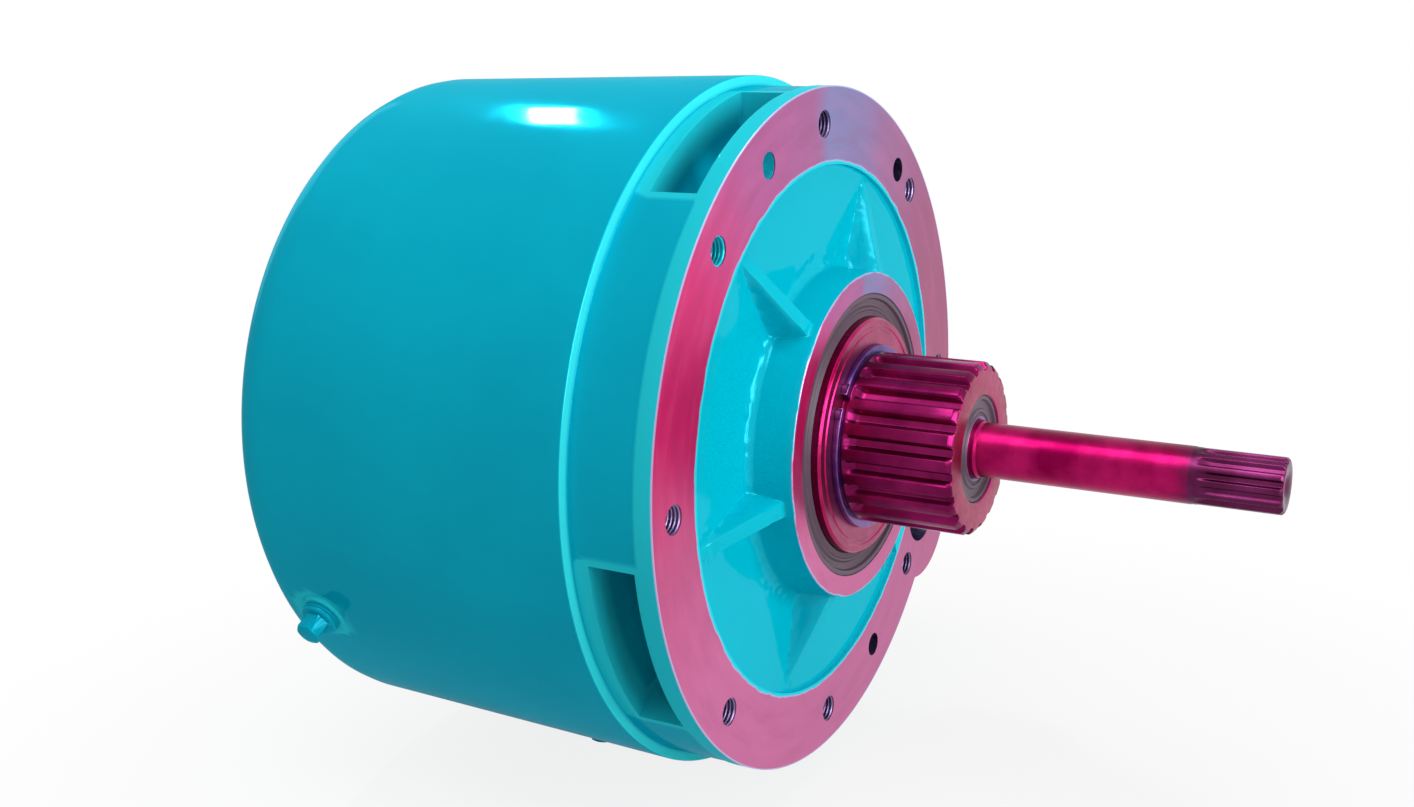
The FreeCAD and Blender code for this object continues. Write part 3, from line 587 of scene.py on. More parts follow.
def paintedAndMachined(name, faceX, paintEdge, flip=False, wave=enamelLook["wave"], cast=0.0, withPaintedLight=False):
    # enamel with a bare turned face; the paint creeps over the face's rim in a wavy line
    look = machinedLook
    material, paint = startMaterial(name)
    x, radius, clock = axisPlace()
    if withPaintedLight:
        # painted highlight: a bright band along the shoulder's step
        away = calculate("ABSOLUTE", calculate("SUBTRACT", x, enamelLook["highlightX"]))
        step = spread(away, enamelLook["highlightShare"], 0.0, *enamelLook["highlightSpan"])
        # painted shade in the windows and a painted highlight on the shoulder
        enamelShader(paint, wave, cast, pocketShade(x, radius), step)
    else:
        enamelShader(paint, wave, cast)
    wobble = spread(cloud(look["creepGrain"], 3.0), -look["creep"], look["creep"])
    past = calculate("SUBTRACT", calculate("ADD", radius, wobble), paintEdge)
    if flip:
        past = times(past, -1.0)
    # painted highlight: pale lines along the outer rim, apart from the ear, and along the paint's edge
    offEar = calculate("SUBTRACT", 1.0, calculate("COMPARE", clock, *look["earSpan"]))
    rimHighlight = times(spread(radius, 0.0, look["chamferHighlightShare"], *look["rimHighlightSpan"]), offEar)
    edge = calculate("MAXIMUM", spread(past, look["chamferHighlightShare"], 0.0, *look["chamferHighlightSpan"]), rimHighlight)
    metal = add("BsdfPrincipled")
    machinedShader(metal, radius, clock, edge)
    bare = spread(past, 0.0, 1.0, -look["soft"], look["soft"])
    showMix(times(bare, calculate("GREATER_THAN", x, faceX)), paint, metal)
    return material


steelLook = {
    "marks": (0.15, 1.0, 1.0), "patchGrain": 38.0, "patchSpan": (0.36, 0.64), "ragged": (0.4, 3.0, 3.0),
    "raggedGrain": 60.0, "raggedReach": 0.01, "turnOver": 0.006,
}


def steel(name, dark, light, rough, metallic=1.0, grain=900.0, depth=0.01, toward=None):
    # ground steel: tone and roughness vary, with fine marks that run along the axis
    look = steelLook
    material, shader = startMaterial(name, {"Metallic": metallic})
    marks = cloud(grain, 3.0, 0.6, coordinates(look["marks"]))
    patches = spread(cloud(look["patchGrain"], 4.0), 0.0, 1.0, *look["patchSpan"])
    tone = mixColour(patches, dark, light)
    if toward is not None:
        # past a plane across the axis the tone turns into another, with a ragged edge
        other, plane = toward
        ragged = cloud(look["raggedGrain"], 3.0, 0.6, coordinates(look["ragged"]))
        shift = spread(ragged, -look["raggedReach"], look["raggedReach"])
        x = calculate("ADD", split()[0], shift)
        share = spread(x, 0.0, 1.0, plane - look["turnOver"], plane + look["turnOver"])
        tone = mixColour(share, tone, other)
    feed(shader, {
        "Base Color": tone,
        "Roughness": spread(marks, *rough, 0.3, 0.7),
        "Normal": bumps([(marks, depth)]),
    })
    return material


def rubber(name, dark, light, rough):
    material, shader = startMaterial(name, {"Specular IOR Level": 0.4})
    patches = cloud(120.0, 4.0)
    feed(shader, {
        "Base Color": mixColour(patches, dark, light),
        "Roughness": spread(patches, rough - 0.08, rough + 0.08),
        "Normal": bumps([(cloud(1400.0, 2.0), 0.01)]),
    })
    return material


windows = {
    "clocks": around(4, 64.0), "span": 32.0, "front": -11.0, "back": -36.0, "floor": 146.0, "cove": 21.5,
    # shadeFromR, darkFrom, highShade, shadeZ and fullAt shape the painted shade inside the windows
    "slack": 3.0, "shadeFromR": 176.0, "darkFrom": -15.0, "highShade": 0.45, "shadeZ": (-0.02, 0.1),
    "fullAt": 0.45,
}
shellEnamel = paintedAndMachined("flangeEnamel", machinedLook["faceX"], machinedLook["paintEdge"],
                                 withPaintedLight=True)
bossFace = paintedAndMachined("bossFace", machinedLook["bossFaceX"], machinedLook["bossPaintEdge"],
                              flip=True, wave=0.5, cast=0.1)
plainEnamel = enamel("plainEnamel")
plugEnamel = enamel("plugEnamel", wave=0.1)
shaftSteel = steel("magentaSteel", (0.2, 0.001, 0.045), (0.4, 0.008, 0.1), (0.26, 0.4),
                   grain=120.0, depth=0.004, toward=((0.13, 0.012, 0.06), 0.19))
splineSteel = steel("splineSteel", (0.12, 0.004, 0.045), (0.22, 0.01, 0.085), (0.22, 0.32),
                    grain=160.0, depth=0.006)
# end face of the output shaft: a paler, lit copy of the spline steel, painted light
endFaceLitSteel = steel("endFaceLitSteel", (0.32, 0.03, 0.09), (0.42, 0.05, 0.14), (0.34, 0.46), grain=300.0)
tipSteel = steel("tipSteel", (0.075, 0.009, 0.04), (0.15, 0.02, 0.09), (0.26, 0.38), grain=160.0, depth=0.006)
sleeveSteel = steel("sleeveSteel", (0.3, 0.003, 0.06), (0.46, 0.02, 0.13), (0.16, 0.3),
                    grain=300.0, depth=0.004)
# front face of the sleeve: a paler, lit copy of the sleeve steel, painted light
sleeveFaceLitSteel = steel("sleeveFaceLitSteel", (0.3, 0.035, 0.11), (0.42, 0.06, 0.17), (0.3, 0.42), grain=300.0)
ringSteel = steel("violetSpringSteel", (0.05, 0.03, 0.2), (0.3, 0.12, 0.36), (0.25, 0.4))
holeSteel = steel("tappedHoleSteel", (0.03, 0.02, 0.09), (0.3, 0.22, 0.42), (0.25, 0.5), metallic=0.9)
screwSteel = steel("zincScrews", (0.5, 0.5, 0.5), (0.68, 0.68, 0.66), (0.25, 0.42))
brassFinish = steel("brass", (0.55, 0.36, 0.11), (0.72, 0.5, 0.18), (0.22, 0.4))
sealRubber = rubber("sealRubber", (0.06, 0.032, 0.058), (0.1, 0.055, 0.09), 0.42)
# finishes of the frame's own pieces
finishBySlot = {
    "cyan_enamel": plainEnamel, "painted_plug": plugEnamel, "magenta_steel": shaftSteel,
    "violet_spring_steel": ringSteel, "zinc_screw": screwSteel, "seal_rubber": sealRubber, "brass": brassFinish,
    "gear_steel": steel("gearSteel", (0.34, 0.34, 0.36), (0.52, 0.52, 0.54), (0.26, 0.42)),
    "bearing_steel": steel("bearingSteel", (0.6, 0.6, 0.62), (0.74, 0.74, 0.76), (0.1, 0.2)),
    "grey_casting": steel("greyCasting", (0.2, 0.2, 0.21), (0.3, 0.3, 0.31), (0.5, 0.7), 0.6, 300.0, 0.05),
    "copper": steel("copper", (0.6, 0.26, 0.14), (0.75, 0.38, 0.22), (0.3, 0.45)),
    "gasket": rubber("gasketPaper", (0.12, 0.14, 0.12), (0.2, 0.22, 0.19), 0.75),
}
print("materials: made")

# housing shell: cup, neck, flange, windows and ear

shell = {
    "flange": 181.0, "rimBack": -9.0, "neck": 180.5, "flareBack": -13.0, "ringInner": 141.0,
    "shoulderFront": -44.9, "shoulder": -45.5, "shoulderR": 186.0, "shoulderRound": 0.9,
    "back": -260.0, "backR": 182.5, "backRound": 22.0, "openingR": 164.2, "ledgeBack": -239.0,
    "ledgeFront": -225.0, "ledgeR": 146.0, "wall": 9.0, "neckBore": 138.0, "endWallBack": -16.0,
    "hubR": 82.0, "hubBack": -22.0, "bearingR": 70.0, "hubFront": 8.0, "hubOuter": 80.0, "webSunk": -6.0,
    "columns": 360, "edge": 0.6, "rowGap": 8.0, "corner": 0.8, "rimDrop": 0.3, "lipRise": 3.6,
}
holes = {
    "circle": 162.0, "count": 8, "first": -3.0, "radius": 6.6, "depth": 30.0, "pitch": 2.0, "thread": 0.6,
    "windowClocks": (64.0, 244.0), "spareClock": 124.0, "spareDepth": 20.0, "plainRadius": 6.75,
    "plainCircle": 160.5, "paintedClocks": (42.0, 64.0), "paintedReach": 12.0, "seenFrom": -0.9,
    "seenTo": -40.0, "slack": 0.4, "upright": 0.97, "turn": (0.35, 0.6, 0.75), "mouth": 0.8,
    "firstTurn": 1.2, "blind": 4.0,
}
ear = {"radius": 162.5, "clock": -150.5, "round": 42.0, "thick": 38.0, "hole": 19.0, "holeDepth": 30.0}
plug = {
    "level": (-30.0, -216.0), "drain": (-84.5, -133.0), "sunk": 1.0,
    "seatR": 12.5, "seatH": 2.5, "seatRoot": 6.0, "seatFoot": 14.5, "seatWaist": 13.7,
    "washer": 1.5, "washerR": 10.5,
    "collarR": 10.5, "collarH": 2.5, "af": 12.5, "headH": 9.5, "threadR": 6.5, "threadL": 12.0,
}


def coneRadius(x):
    share = (x - shell["shoulder"]) / (shell["back"] - shell["shoulder"])
    return shell["shoulderR"] + (shell["backR"] - shell["shoulderR"]) * share


def plugPlace(name):
    clock, x = plug[name]
    return polar(coneRadius(x) - plug["sunk"], clock, x), polar(1.0, clock) / mm


def makeShellBody():
    s = shell
    back = coneRadius(s["ledgeFront"]) - s["wall"]
    front = coneRadius(s["shoulder"]) - s["wall"]
    corners = [
        (0.0, s["ringInner"]), (0.0, s["flange"]), (s["rimBack"], s["flange"]),
        (windows["front"], s["flange"] - s["rimDrop"]), (s["flareBack"], s["neck"]),
        (windows["back"], s["neck"]), (s["shoulderFront"], s["neck"], s["corner"]),
        (s["shoulder"], s["shoulderR"], s["shoulderRound"]),
        (s["back"], s["backR"], s["backRound"]), (s["back"] + s["lipRise"], s["openingR"]),
        (s["ledgeBack"], s["openingR"]), (s["ledgeBack"], s["ledgeR"]), (s["ledgeFront"], s["ledgeR"]),
        (s["ledgeFront"] + s["wall"], back), (s["shoulder"] - s["wall"], front),
        (s["shoulder"], s["neckBore"]), (s["endWallBack"], s["neckBore"]), (s["endWallBack"], s["hubR"]),
        (s["hubBack"], s["hubR"]), (s["hubBack"], s["bearingR"]), (s["hubFront"], s["bearingR"]),
        (s["hubFront"], s["hubOuter"]),
        (s["webSunk"], s["hubOuter"]), (s["webSunk"], s["ringInner"]),
    ]
    outline = densified(softened(corners, 7), s["rowGap"], lambda a, b: min(a[1], b[1]) > s["backR"] - 0.5)
    return lathe("housing_shell", outline, s["columns"])


def inWindow(face):
    outward = radiusOf(face.center) > shell["ringInner"]
    between = windows["back"] < face.center.x / mm < windows["front"]
    return outward and between and abs(nearest(clockOf(face.center), windows["clocks"])) < windows["span"] / 2


def onWindowCorner(*ends):
    # the long edge at the window's floor, away from the flange
    level = all(abs(radiusOf(p) - windows["floor"]) < windows["slack"] for p in ends)
    return level and all(abs(p.x / mm - windows["back"]) < tiny for p in ends)


def cutWindows(piece):
    pickFaces(piece, inWindow)
    bpy.ops.mesh.extrude_region_move(TRANSFORM_OT_translate={"value": origin})
    squeeze = windows["floor"] / shell["neck"]
    bpy.ops.transform.resize(value=(1, squeeze, squeeze), center_override=origin)
    endEdit()
    pickEdges(piece, onWindowCorner)
    bpy.ops.mesh.bevel(offset=windows["cove"] * mm, segments=7, affect="EDGES")
    endEdit()


def threadedTool(radius, depth):
    # a cutter with the turns of a thread, open at the face
    pitch = holes["pitch"]
    wide = radius + holes["thread"]
    crest, flank, root = (pitch * share for share in holes["turn"])
    outline = [(1.0, 0.0), (1.0, wide), (-holes["mouth"], wide)]
    x = -holes["firstTurn"]
    while x - pitch > -depth + holes["blind"]:
        outline += [(x, radius), (x - crest, radius), (x - flank, wide), (x - root, wide)]
        x -= pitch
    outline += [(x, radius), (-depth, radius), (-depth - radius * 0.5, 0.0)]
    return lathe("tool", outline, 24, closed=False)


def drillFlange(piece):
    pattern = threadedTool(holes["radius"], holes["depth"])
    tools = []
    for clock in around(holes["count"], holes["first"]):
        tool = copyOf(pattern, "tool")
        tool.data.transform(Matrix.Translation(polar(holes["circle"], clock)))
        tools.append(tool)
    bpy.data.objects.remove(pattern)
    depths = [(clock, -windows["front"] + 1.0) for clock in holes["windowClocks"]]
    for clock, depth in depths + [(holes["spareClock"], holes["spareDepth"])]:
        tools.append(bar("tool", 32, holes["plainRadius"], -depth, 1.0, polar(holes["plainCircle"], clock)))
    tools.append(bar("tool", 64, ear["hole"], -ear["holeDepth"], 1.0, polar(ear["radius"], ear["clock"])))
    boolean(piece, joined(tools, "tool"), "DIFFERENCE")


def addSeats(piece):
    p = plug
    outline = [(-p["seatRoot"], 0.0), (-p["seatRoot"], p["seatFoot"]), (0.0, p["seatWaist"]),
               (p["seatH"], p["seatR"]), (p["seatH"], 0.0)]
    for name in ("level", "drain"):
        seat = lathe("tool", outline, 48, closed=False)
        moveTo(seat, *plugPlace(name))
        boolean(piece, seat, "UNION")


def bareBores(piece):
    # the bores show steel, apart from the ones that paint has run into
    h = holes
    plainClocks = (h["spareClock"], *h["windowClocks"])
    axes = [(polar(h["circle"], c), h["radius"]) for c in around(h["count"], h["first"])]
    axes += [(polar(h["plainCircle"], c), h["plainRadius"]) for c in plainClocks]
    axes.append((polar(ear["radius"], ear["clock"]), ear["hole"]))
    painted = [polar(h["circle"], c) for c in h["paintedClocks"]]

    def isBare(face):
        if not h["seenTo"] * mm < face.center.x < h["seenFrom"] * mm or abs(face.normal.x) > h["upright"]:
            return False
        flat = Vector((0, face.center.y, face.center.z))
        near = any((flat - p).length < (radius + h["thread"] + h["slack"]) * mm for p, radius in axes)
        return near and not any((flat - p).length < h["paintedReach"] * mm for p in painted)

    accent(piece, isBare)


def makeShell():
    piece = makeShellBody()
    cutWindows(piece)
    earBody = bar("tool", 96, ear["round"], -ear["thick"], 0.0, polar(ear["radius"], ear["clock"]))
    boolean(piece, earBody, "UNION")
    addSeats(piece)
    drillFlange(piece)
    roundEdges(piece, shell["edge"])
    shade(piece)
    dress(piece, "housing", [shellEnamel, holeSteel], "cyan_enamel", "main_housing")
    bareBores(piece)
    print("housing shell:", len(piece.data.polygons), "faces")


makeShell()

# end wall with its ribs and the boss

front = {
    "outer": 141.8, "web": -2.5, "backX": -8.0, "sideR": 87.6, "cove": 5.0, "faceX": 22.0, "faceR": 86.0,
    "boreR": 75.0, "boreBack": 9.0, "columns": 720, "rowGap": 1.2,
}
ribs = {
    "clocks": (-14.0, 48.0, 110.5, 170.0, -132.0, -73.5), "footR": 136.0, "topX": 17.0, "footX": -2.0,
    "half": 4.25, "tipHalf": 3.5, "steep": 5.5, "crown": 0.7, "foot": 3.0, "footFade": (19.0, 21.8),
    "holdTo": 5.0, "freeFrom": 20.0,
}
casting = {
    "wave": 0.16, "waveGrain": 70.0, "drip": 0.75, "dripGrain": 330.0, "dripFrom": (112.0, 128.0),
    "dripTo": (137.0, 140.5), "dripBeside": (2.0, 6.5), "lump": 0.8, "lumpGrain": 190.0,
    "lumpFrom": (87.6, 89.0), "lumpTo": (94.0, 98.0), "calm": (20.0, 21.5),
}


def ribShare(radius):
    return min(max((radius - front["faceR"]) / (ribs["footR"] - front["faceR"]), 0.0), 1.0)


def ribHalf(radius):
    return ribs["half"] + (ribs["tipHalf"] - ribs["half"]) * ribShare(radius)


def alongRib(offset, radius):
    # columns of vertices lean so that they run along the rib's edges
    start = math.asin(ribs["half"] / front["faceR"])
    squeeze = math.asin(ribHalf(radius) / max(radius, front["faceR"])) / start
    size = abs(offset)
    held = ribs["holdTo"]
    if size <= held:
        moved = size * squeeze
    elif size < ribs["freeFrom"]:
        rest = (size - held) / (ribs["freeFrom"] - held)
        moved = held * squeeze + rest * (ribs["freeFrom"] - held * squeeze)
    else:
        moved = size
    return math.copysign(moved, offset)


def ribHeight(offset, radius):
    # height of the rib's surface over the plane x = 0, at an angle from its middle
    away = abs(radius * math.sin(math.radians(offset)))
    share = (radius - front["faceR"]) / (ribs["footR"] - front["faceR"])
    top = ribs["topX"] + (ribs["footX"] - ribs["topX"]) * share
    side = top - (away - ribHalf(radius)) * ribs["steep"]
    return smoothMin(top, side, ribs["crown"])


def riseAndFall(value, rise, fall):
    return smoothStep(value, *rise) * (1 - smoothStep(value, *fall))


def castRoughness(point, radius, offset):
    # shallow waves over the whole casting, drips by the ribs' feet and lumps in the boss's cove
    c = casting
    wave = noise.noise(point * c["waveGrain"]) * c["wave"]
    foot = riseAndFall(radius, c["dripFrom"], c["dripTo"])
    beside = 1 - smoothStep(abs(offset), *c["dripBeside"])
    drip = noise.noise(point * c["dripGrain"]) * c["drip"] * foot * beside
    cove = riseAndFall(radius, c["lumpFrom"], c["lumpTo"])
    return wave + drip + noise.noise(point * c["lumpGrain"]) * c["lump"] * cove


def makeFront():
    f = front
    corners = [
        (f["web"], f["outer"]), (f["web"], f["sideR"], f["cove"]), (f["faceX"], f["faceR"], 0.7),
        (f["faceX"], f["boreR"], 0.5), (f["boreBack"], f["boreR"]), (f["backX"], f["boreR"] + 9.0),
        (f["backX"], f["outer"]),
    ]
    rounded = softened(corners, 9)
    outline = densified(rounded, f["rowGap"], lambda a, b: a[1] > f["faceR"] and a[0] > f["web"] - 1)
    piece = lathe("end_wall_and_boss", outline, f["columns"])
    for vertex in piece.data.vertices:
        x, radius, clock = vertex.co.x / mm, radiusOf(vertex.co), clockOf(vertex.co)
        if x < f["web"] - 0.5 or radius < f["faceR"] - 0.05:
            continue
        rib = min(ribs["clocks"], key=lambda c: abs(offsetFrom(clock, c)))
        offset = alongRib(offsetFrom(clock, rib), radius)
        point = polar(radius, rib + offset, x)
        roughness = castRoughness(point, radius, offset) * (1 - smoothStep(x, *casting["calm"]))
        blend = ribs["foot"] * (1 - smoothStep(x, *ribs["footFade"])) + 0.01
        height = smoothMax(x, ribHeight(offset, radius), blend)
        point.x = (min(height, f["faceX"]) + roughness) * mm
        vertex.co = point
    shade(piece, 50.0)
    dress(piece, "housing", [bossFace], "cyan_enamel")
    print("end wall and boss:", len(piece.data.polygons), "faces")


makeFront()

# shaft seal, sleeve and snap ring round the output shaft

seal = {"back": 10.0, "front": 21.5, "outer": 75.0, "inner": 62.6, "caseR": 72.4, "webX": 18.6, "lipR": 66.8}
sleeve = {"back": 6.0, "front": 25.4, "outer": 62.5, "bore": 45.0, "chamfer": 1.2, "groove": 0.5}
snap = {"back": 25.4, "front": 28.4, "inner": 43.5, "outer": 48.5, "gap": 8.0, "gapClock": 33.0, "lug": 3.0}


def makeSeal():
    s = seal
    front = s["front"]
    corners = [
        (s["back"], s["inner"]), (s["back"], s["outer"], 0.6), (front, s["outer"], 0.8),
        (front, s["caseR"], 0.4), (s["webX"] + 1.2, s["caseR"] - 0.7, 0.5),
        (s["webX"], s["caseR"] - 3.0, 0.8), (s["webX"], s["lipR"] + 1.6, 0.8), (front - 1.0, s["lipR"], 0.7),
        (front - 2.6, s["lipR"] - 1.6, 0.6),
        (front - 0.6, s["inner"] + 0.9, 0.3), (front - 1.2, s["inner"], 0.2),
    ]
    piece = turned("output_lip_seal", corners, 4, 256)
    shade(piece)
    dress(piece, "housing", [sealRubber], "seal_rubber", "output_seal")


def makeSleeve():
    s = sleeve
    corners = [
        (s["back"], s["bore"]), (s["back"], s["outer"], 0.5), (s["front"] - s["chamfer"], s["outer"], 0.5),
        (s["front"], s["outer"] - s["chamfer"], 0.5), (s["front"], 58.5), (s["front"] - s["groove"], 57.8),
        (s["front"] - s["groove"], 56.0), (s["front"], 55.4), (s["front"], s["bore"], 0.5),
    ]
    piece = turned("seal_running_sleeve", corners, 4, 256)
    shade(piece)
    dress(piece, "output", [sleeveSteel, sleeveFaceLitSteel], "magenta_steel", "seal_sleeve")
    # faces towards the front take the paler, lit copy: painted light
    accent(piece, lambda face: face.normal.x > 0.9)


def makeSnapRing():
    s = snap
    corners = [(s["back"], s["inner"], 0.3), (s["back"], s["outer"], 0.3), (s["front"], s["outer"], 0.5),
               (s["front"], s["inner"], 0.3)]
    piece = turned("shaft_snap_ring", corners, 3, 240)
    half = s["gap"] / 2
    reach = math.degrees(math.asin(half / s["outer"]))
    pickFaces(piece, lambda face: abs(offsetFrom(clockOf(face.center), s["gapClock"])) < reach)
    bpy.ops.mesh.delete(type="FACE")
    selectAll()
    bpy.ops.mesh.fill_holes(sides=0)
    endOutward()
    for side in (-1, 1):
        middle = polar(s["outer"] - 1.0, s["gapClock"] + side * (reach + 3.6))
        lug = bar("lug", 32, s["lug"], s["back"] + 0.2, s["front"] - 0.2, middle)
        boolean(lug, bar("tool", 20, s["lug"] * 0.4, s["back"] - 1, s["front"] + 1, middle), "DIFFERENCE")
        boolean(piece, lug, "UNION")
    roundEdges(piece, 0.2, 1, 50.0)
    shade(piece)
    dress(piece, "output", [ringSteel], "violet_spring_steel", "output_snap_ring")


makeSeal()
makeSleeve()
makeSnapRing()
print("seal, sleeve and snap ring: made")

# splined shafts

outputNose = {
    "rear": 25.4, "land": 29.2, "front": 86.4, "teeth": 21, "tip": 44.6, "root": 40.6, "tipT": 5.6,
    "rootT": 8.6, "chamfer": 2.5, "runOut": 6.0, "seat": 45.0, "relief": 1.5, "reliefL": 3.0, "bore": 17.0,
    "sealR": 27.5, "sealBack": 77.4, "cut": 10.0,
}
inputTip = {
    "front": 235.6, "rear": 193.6, "teeth": 12, "tip": 13.8, "root": 12.0, "tipT": 2.6, "rootT": 4.2,
    "chamfer": 1.5, "runOut": 9.0, "shaft": 14.0, "journal": 15.0, "journalBack": 75.4, "journalFront": 88.4,
    "cut": 60.0,
}


def toothClocks(part):
    # ten columns for each tooth, on its corners and between them
    clocks = []
    pitch = 360.0 / part["teeth"]
    crest = math.degrees(part["tipT"] / 2 / part["tip"])
    foot = math.degrees(part["rootT"] / 2 / part["root"])
    space = pitch / 2
    for i in range(part["teeth"]):
        marks = (-foot, -(foot + crest) / 2, -crest, -crest / 3, crest / 3, crest, (foot + crest) / 2, foot)
        clocks += [i * pitch + mark for mark in marks]
        clocks += [i * pitch + foot + (space - foot) * share for share in (0.67, 1.33)]
    return clocks


def toothRadii(part, depth):
    # radius at each column with the grooves cut to a share of their depth
    profile = (1.0, 0.5, 0.0, 0.0, 0.0, 0.0, 0.5, 1.0, 1.0, 1.0)
    drop = (part["tip"] - part["root"]) * depth
    return [part["tip"] - drop * share for share in profile] * part["teeth"]
def plainRows(part, *steps):
    # rows of vertices on circles, from pairs of x and radius
    return [(x, [radius] * 10 * part["teeth"]) for x, radius in steps]


def runOutRows(part, x):
    # the grooves grow to their full depth along a curve
    shares = [k / 6 for k in range(7)]
    return [(x + part["runOut"] * share, toothRadii(part, math.sin(share * math.pi / 2))) for share in shares]


def capped(radii, top):
    return [min(radius, top) for radius in radii]

def keepBehind(source, name, x):
    # the hidden rear of a shaft, copied from the frame, merged and cut off flat
    piece = copyOf(cadNodes[source], name)
    startEdit(piece)
    selectAll()
    bpy.ops.mesh.remove_doubles(threshold=1e-6)
    bpy.ops.mesh.bisect(plane_co=(x * mm, 0, 0), plane_no=(1, 0, 0), clear_outer=True, use_fill=True)
    endEdit()
    return piece


def makeOutputShaft():
    n = outputNose
    full = toothRadii(n, 1.0)
    rear, front, tip, chamfer = n["rear"], n["front"], n["tip"], n["chamfer"]
    ledge, low = rear + n["reliefL"], n["seat"] - n["relief"]
    rows = plainRows(n, (n["cut"], n["bore"]), (n["cut"], n["seat"]), (rear, n["seat"]), (rear, low),
                     (ledge, low), (ledge, tip), (n["land"] - 0.5, tip))
    rows += runOutRows(n, n["land"])
    rows += [(front - chamfer - 12.0, full), (front - chamfer, full)]
    rows.append((front - chamfer * 0.25, capped(full, tip - chamfer * 0.8)))
    rows.append((front, capped(full, tip - chamfer - 0.8)))
    rows += plainRows(n, (front, n["sealR"] + 6.0), (front, n["sealR"] + 0.8), (front - 0.8, n["sealR"]),
                      (n["sealBack"], n["sealR"]), (n["sealBack"], n["bore"]))
    nose = loopBody("nose", toothClocks(n), rows)
    roundEdges(nose, 0.3, 2, 24.0)
    piece = joined([nose, keepBehind("output_shaft", "rear", n["cut"])], "splined_output_shaft")
    shade(piece, 30.0)
    dress(piece, "output", [splineSteel, endFaceLitSteel], "magenta_steel", "output_shaft")
    # faces towards the front take the paler, lit copy: painted light
    accent(piece, lambda face: face.center.x > (front - 0.3) * mm and face.normal.x > 0.7)


def makeInputShaft():
    n = inputTip
    full = toothRadii(n, 1.0)
    rear, front, shaft, tip, root = n["rear"], n["front"], n["shaft"], n["tip"], n["root"]
    rows = plainRows(n, (n["cut"], shaft), (n["journalBack"] - 1.0, shaft), (n["journalBack"], n["journal"]),
                     (n["journalFront"] - 1.2, n["journal"]), (n["journalFront"], shaft),
                     (rear - 24.0, shaft), (rear - 0.8, shaft), (rear, tip))
    rows += runOutRows(n, rear + 2.0)
    rows.append((front - n["chamfer"], full))
    rows += [(front - 0.4, capped(full, tip - 1.1)), (front, capped(full, tip - 1.9))]
    rows += plainRows(n, (front, root - 2.5), (front - 0.6, root - 6.5), (front - 3.5, 0.8))
    nose = loopBody("tip", toothClocks(n), rows, closed=False)
    roundEdges(nose, 0.2, 2, 24.0)
    piece = joined([nose, keepBehind("input_shaft", "rear", n["cut"])], "splined_input_shaft")
    shade(piece, 30.0)
    dress(piece, "input", [shaftSteel, tipSteel], "magenta_steel", "input_shaft")
    accent(piece, lambda face: face.center.x / mm > rear - 0.5)


def makeInputSeal():
    back = outputNose["sealBack"]
    outer = outputNose["sealR"]
    corners = [
        (back, 15.05), (back, outer, 0.4), (back + 8.0, outer, 0.5), (back + 8.0, outer - 2.0, 0.3),
        (back + 6.4, outer - 2.8, 0.4), (back + 6.2, 21.0, 0.4), (back + 7.2, 20.2, 0.3),
        (back + 7.2, 19.0, 0.3), (back + 6.0, 18.2, 0.4), (back + 7.6, 16.6, 0.3), (back + 6.9, 15.05, 0.15),
    ]
    piece = turned("input_lip_seal", corners, 4, 160)
    shade(piece)
    dress(piece, "output", [sealRubber, ringSteel], "seal_rubber", "input_seal")
    accent(piece, lambda face: 15.2 < radiusOf(face.center) < 17.2 and face.center.x > (back + 6.8) * mm)


makeOutputShaft()
makeInputShaft()
makeInputSeal()
print("shafts: made")

# oil plugs, washers, breather, rear cover and its screws


def hexHead(name, across, start, end, slope):
    # hexagon with its outer corners turned off at a slope
    head = bar(name, 6, across / math.sqrt(3), start, end)
    head.data.transform(Matrix.Rotation(math.radians(30), 4, "X"))
    reach = across / 2 + slope
    outline = [(start - 1, 0), (start - 1, reach), (end - slope * 0.6, reach)]
    outline += [(end, across / 2 - 0.4), (end, 0)]
    trim = lathe("tool", outline, 48, closed=False)
    boolean(head, trim, "INTERSECT")
    return head


def makePlugs():
    p = plug
    top = p["seatH"] + p["washer"]
    end = top - p["threadL"]
    brim = top + p["collarH"]
    corners = [(end, 0.0), (end, p["threadR"], 0.8), (top, p["threadR"]), (top, p["collarR"], 0.8),
               (brim, p["collarR"], 1.6), (brim, 0.0)]
    level = turned("painted_oil_level_plug", corners, 4, 48, closed=False)
    boolean(level, hexHead("head", p["af"], brim - 0.5, brim + p["headH"], 1.4), "UNION")
    roundEdges(level, 0.5, 2, 28.0)
    shade(level)
    drain = copyOf(level, "painted_drain_plug")
    for piece, name, node in ((level, "level", "oil_level_plug"), (drain, "drain", "drain_plug")):
        moveTo(piece, *plugPlace(name))
        dress(piece, "housing", [plugEnamel], "painted_plug", node)


def makeWashers():
    p = plug
    low, high, bore = p["seatH"], p["seatH"] + p["washer"], p["threadR"] + tiny
    corners = [(low, bore, 0.2), (low, p["washerR"], 0.5), (high, p["washerR"], 0.5), (high, bore, 0.2)]
    first = turned("ring", corners, 3, 64)
    second = copyOf(first, "ring")
    moveTo(first, *plugPlace("level"))
    moveTo(second, *plugPlace("drain"))
    piece = joined([first, second], "plug_washers")
    shade(piece)
    dress(piece, "housing", [plugEnamel], "copper", "plug_sealing_washers")


makePlugs()
makeWashers()

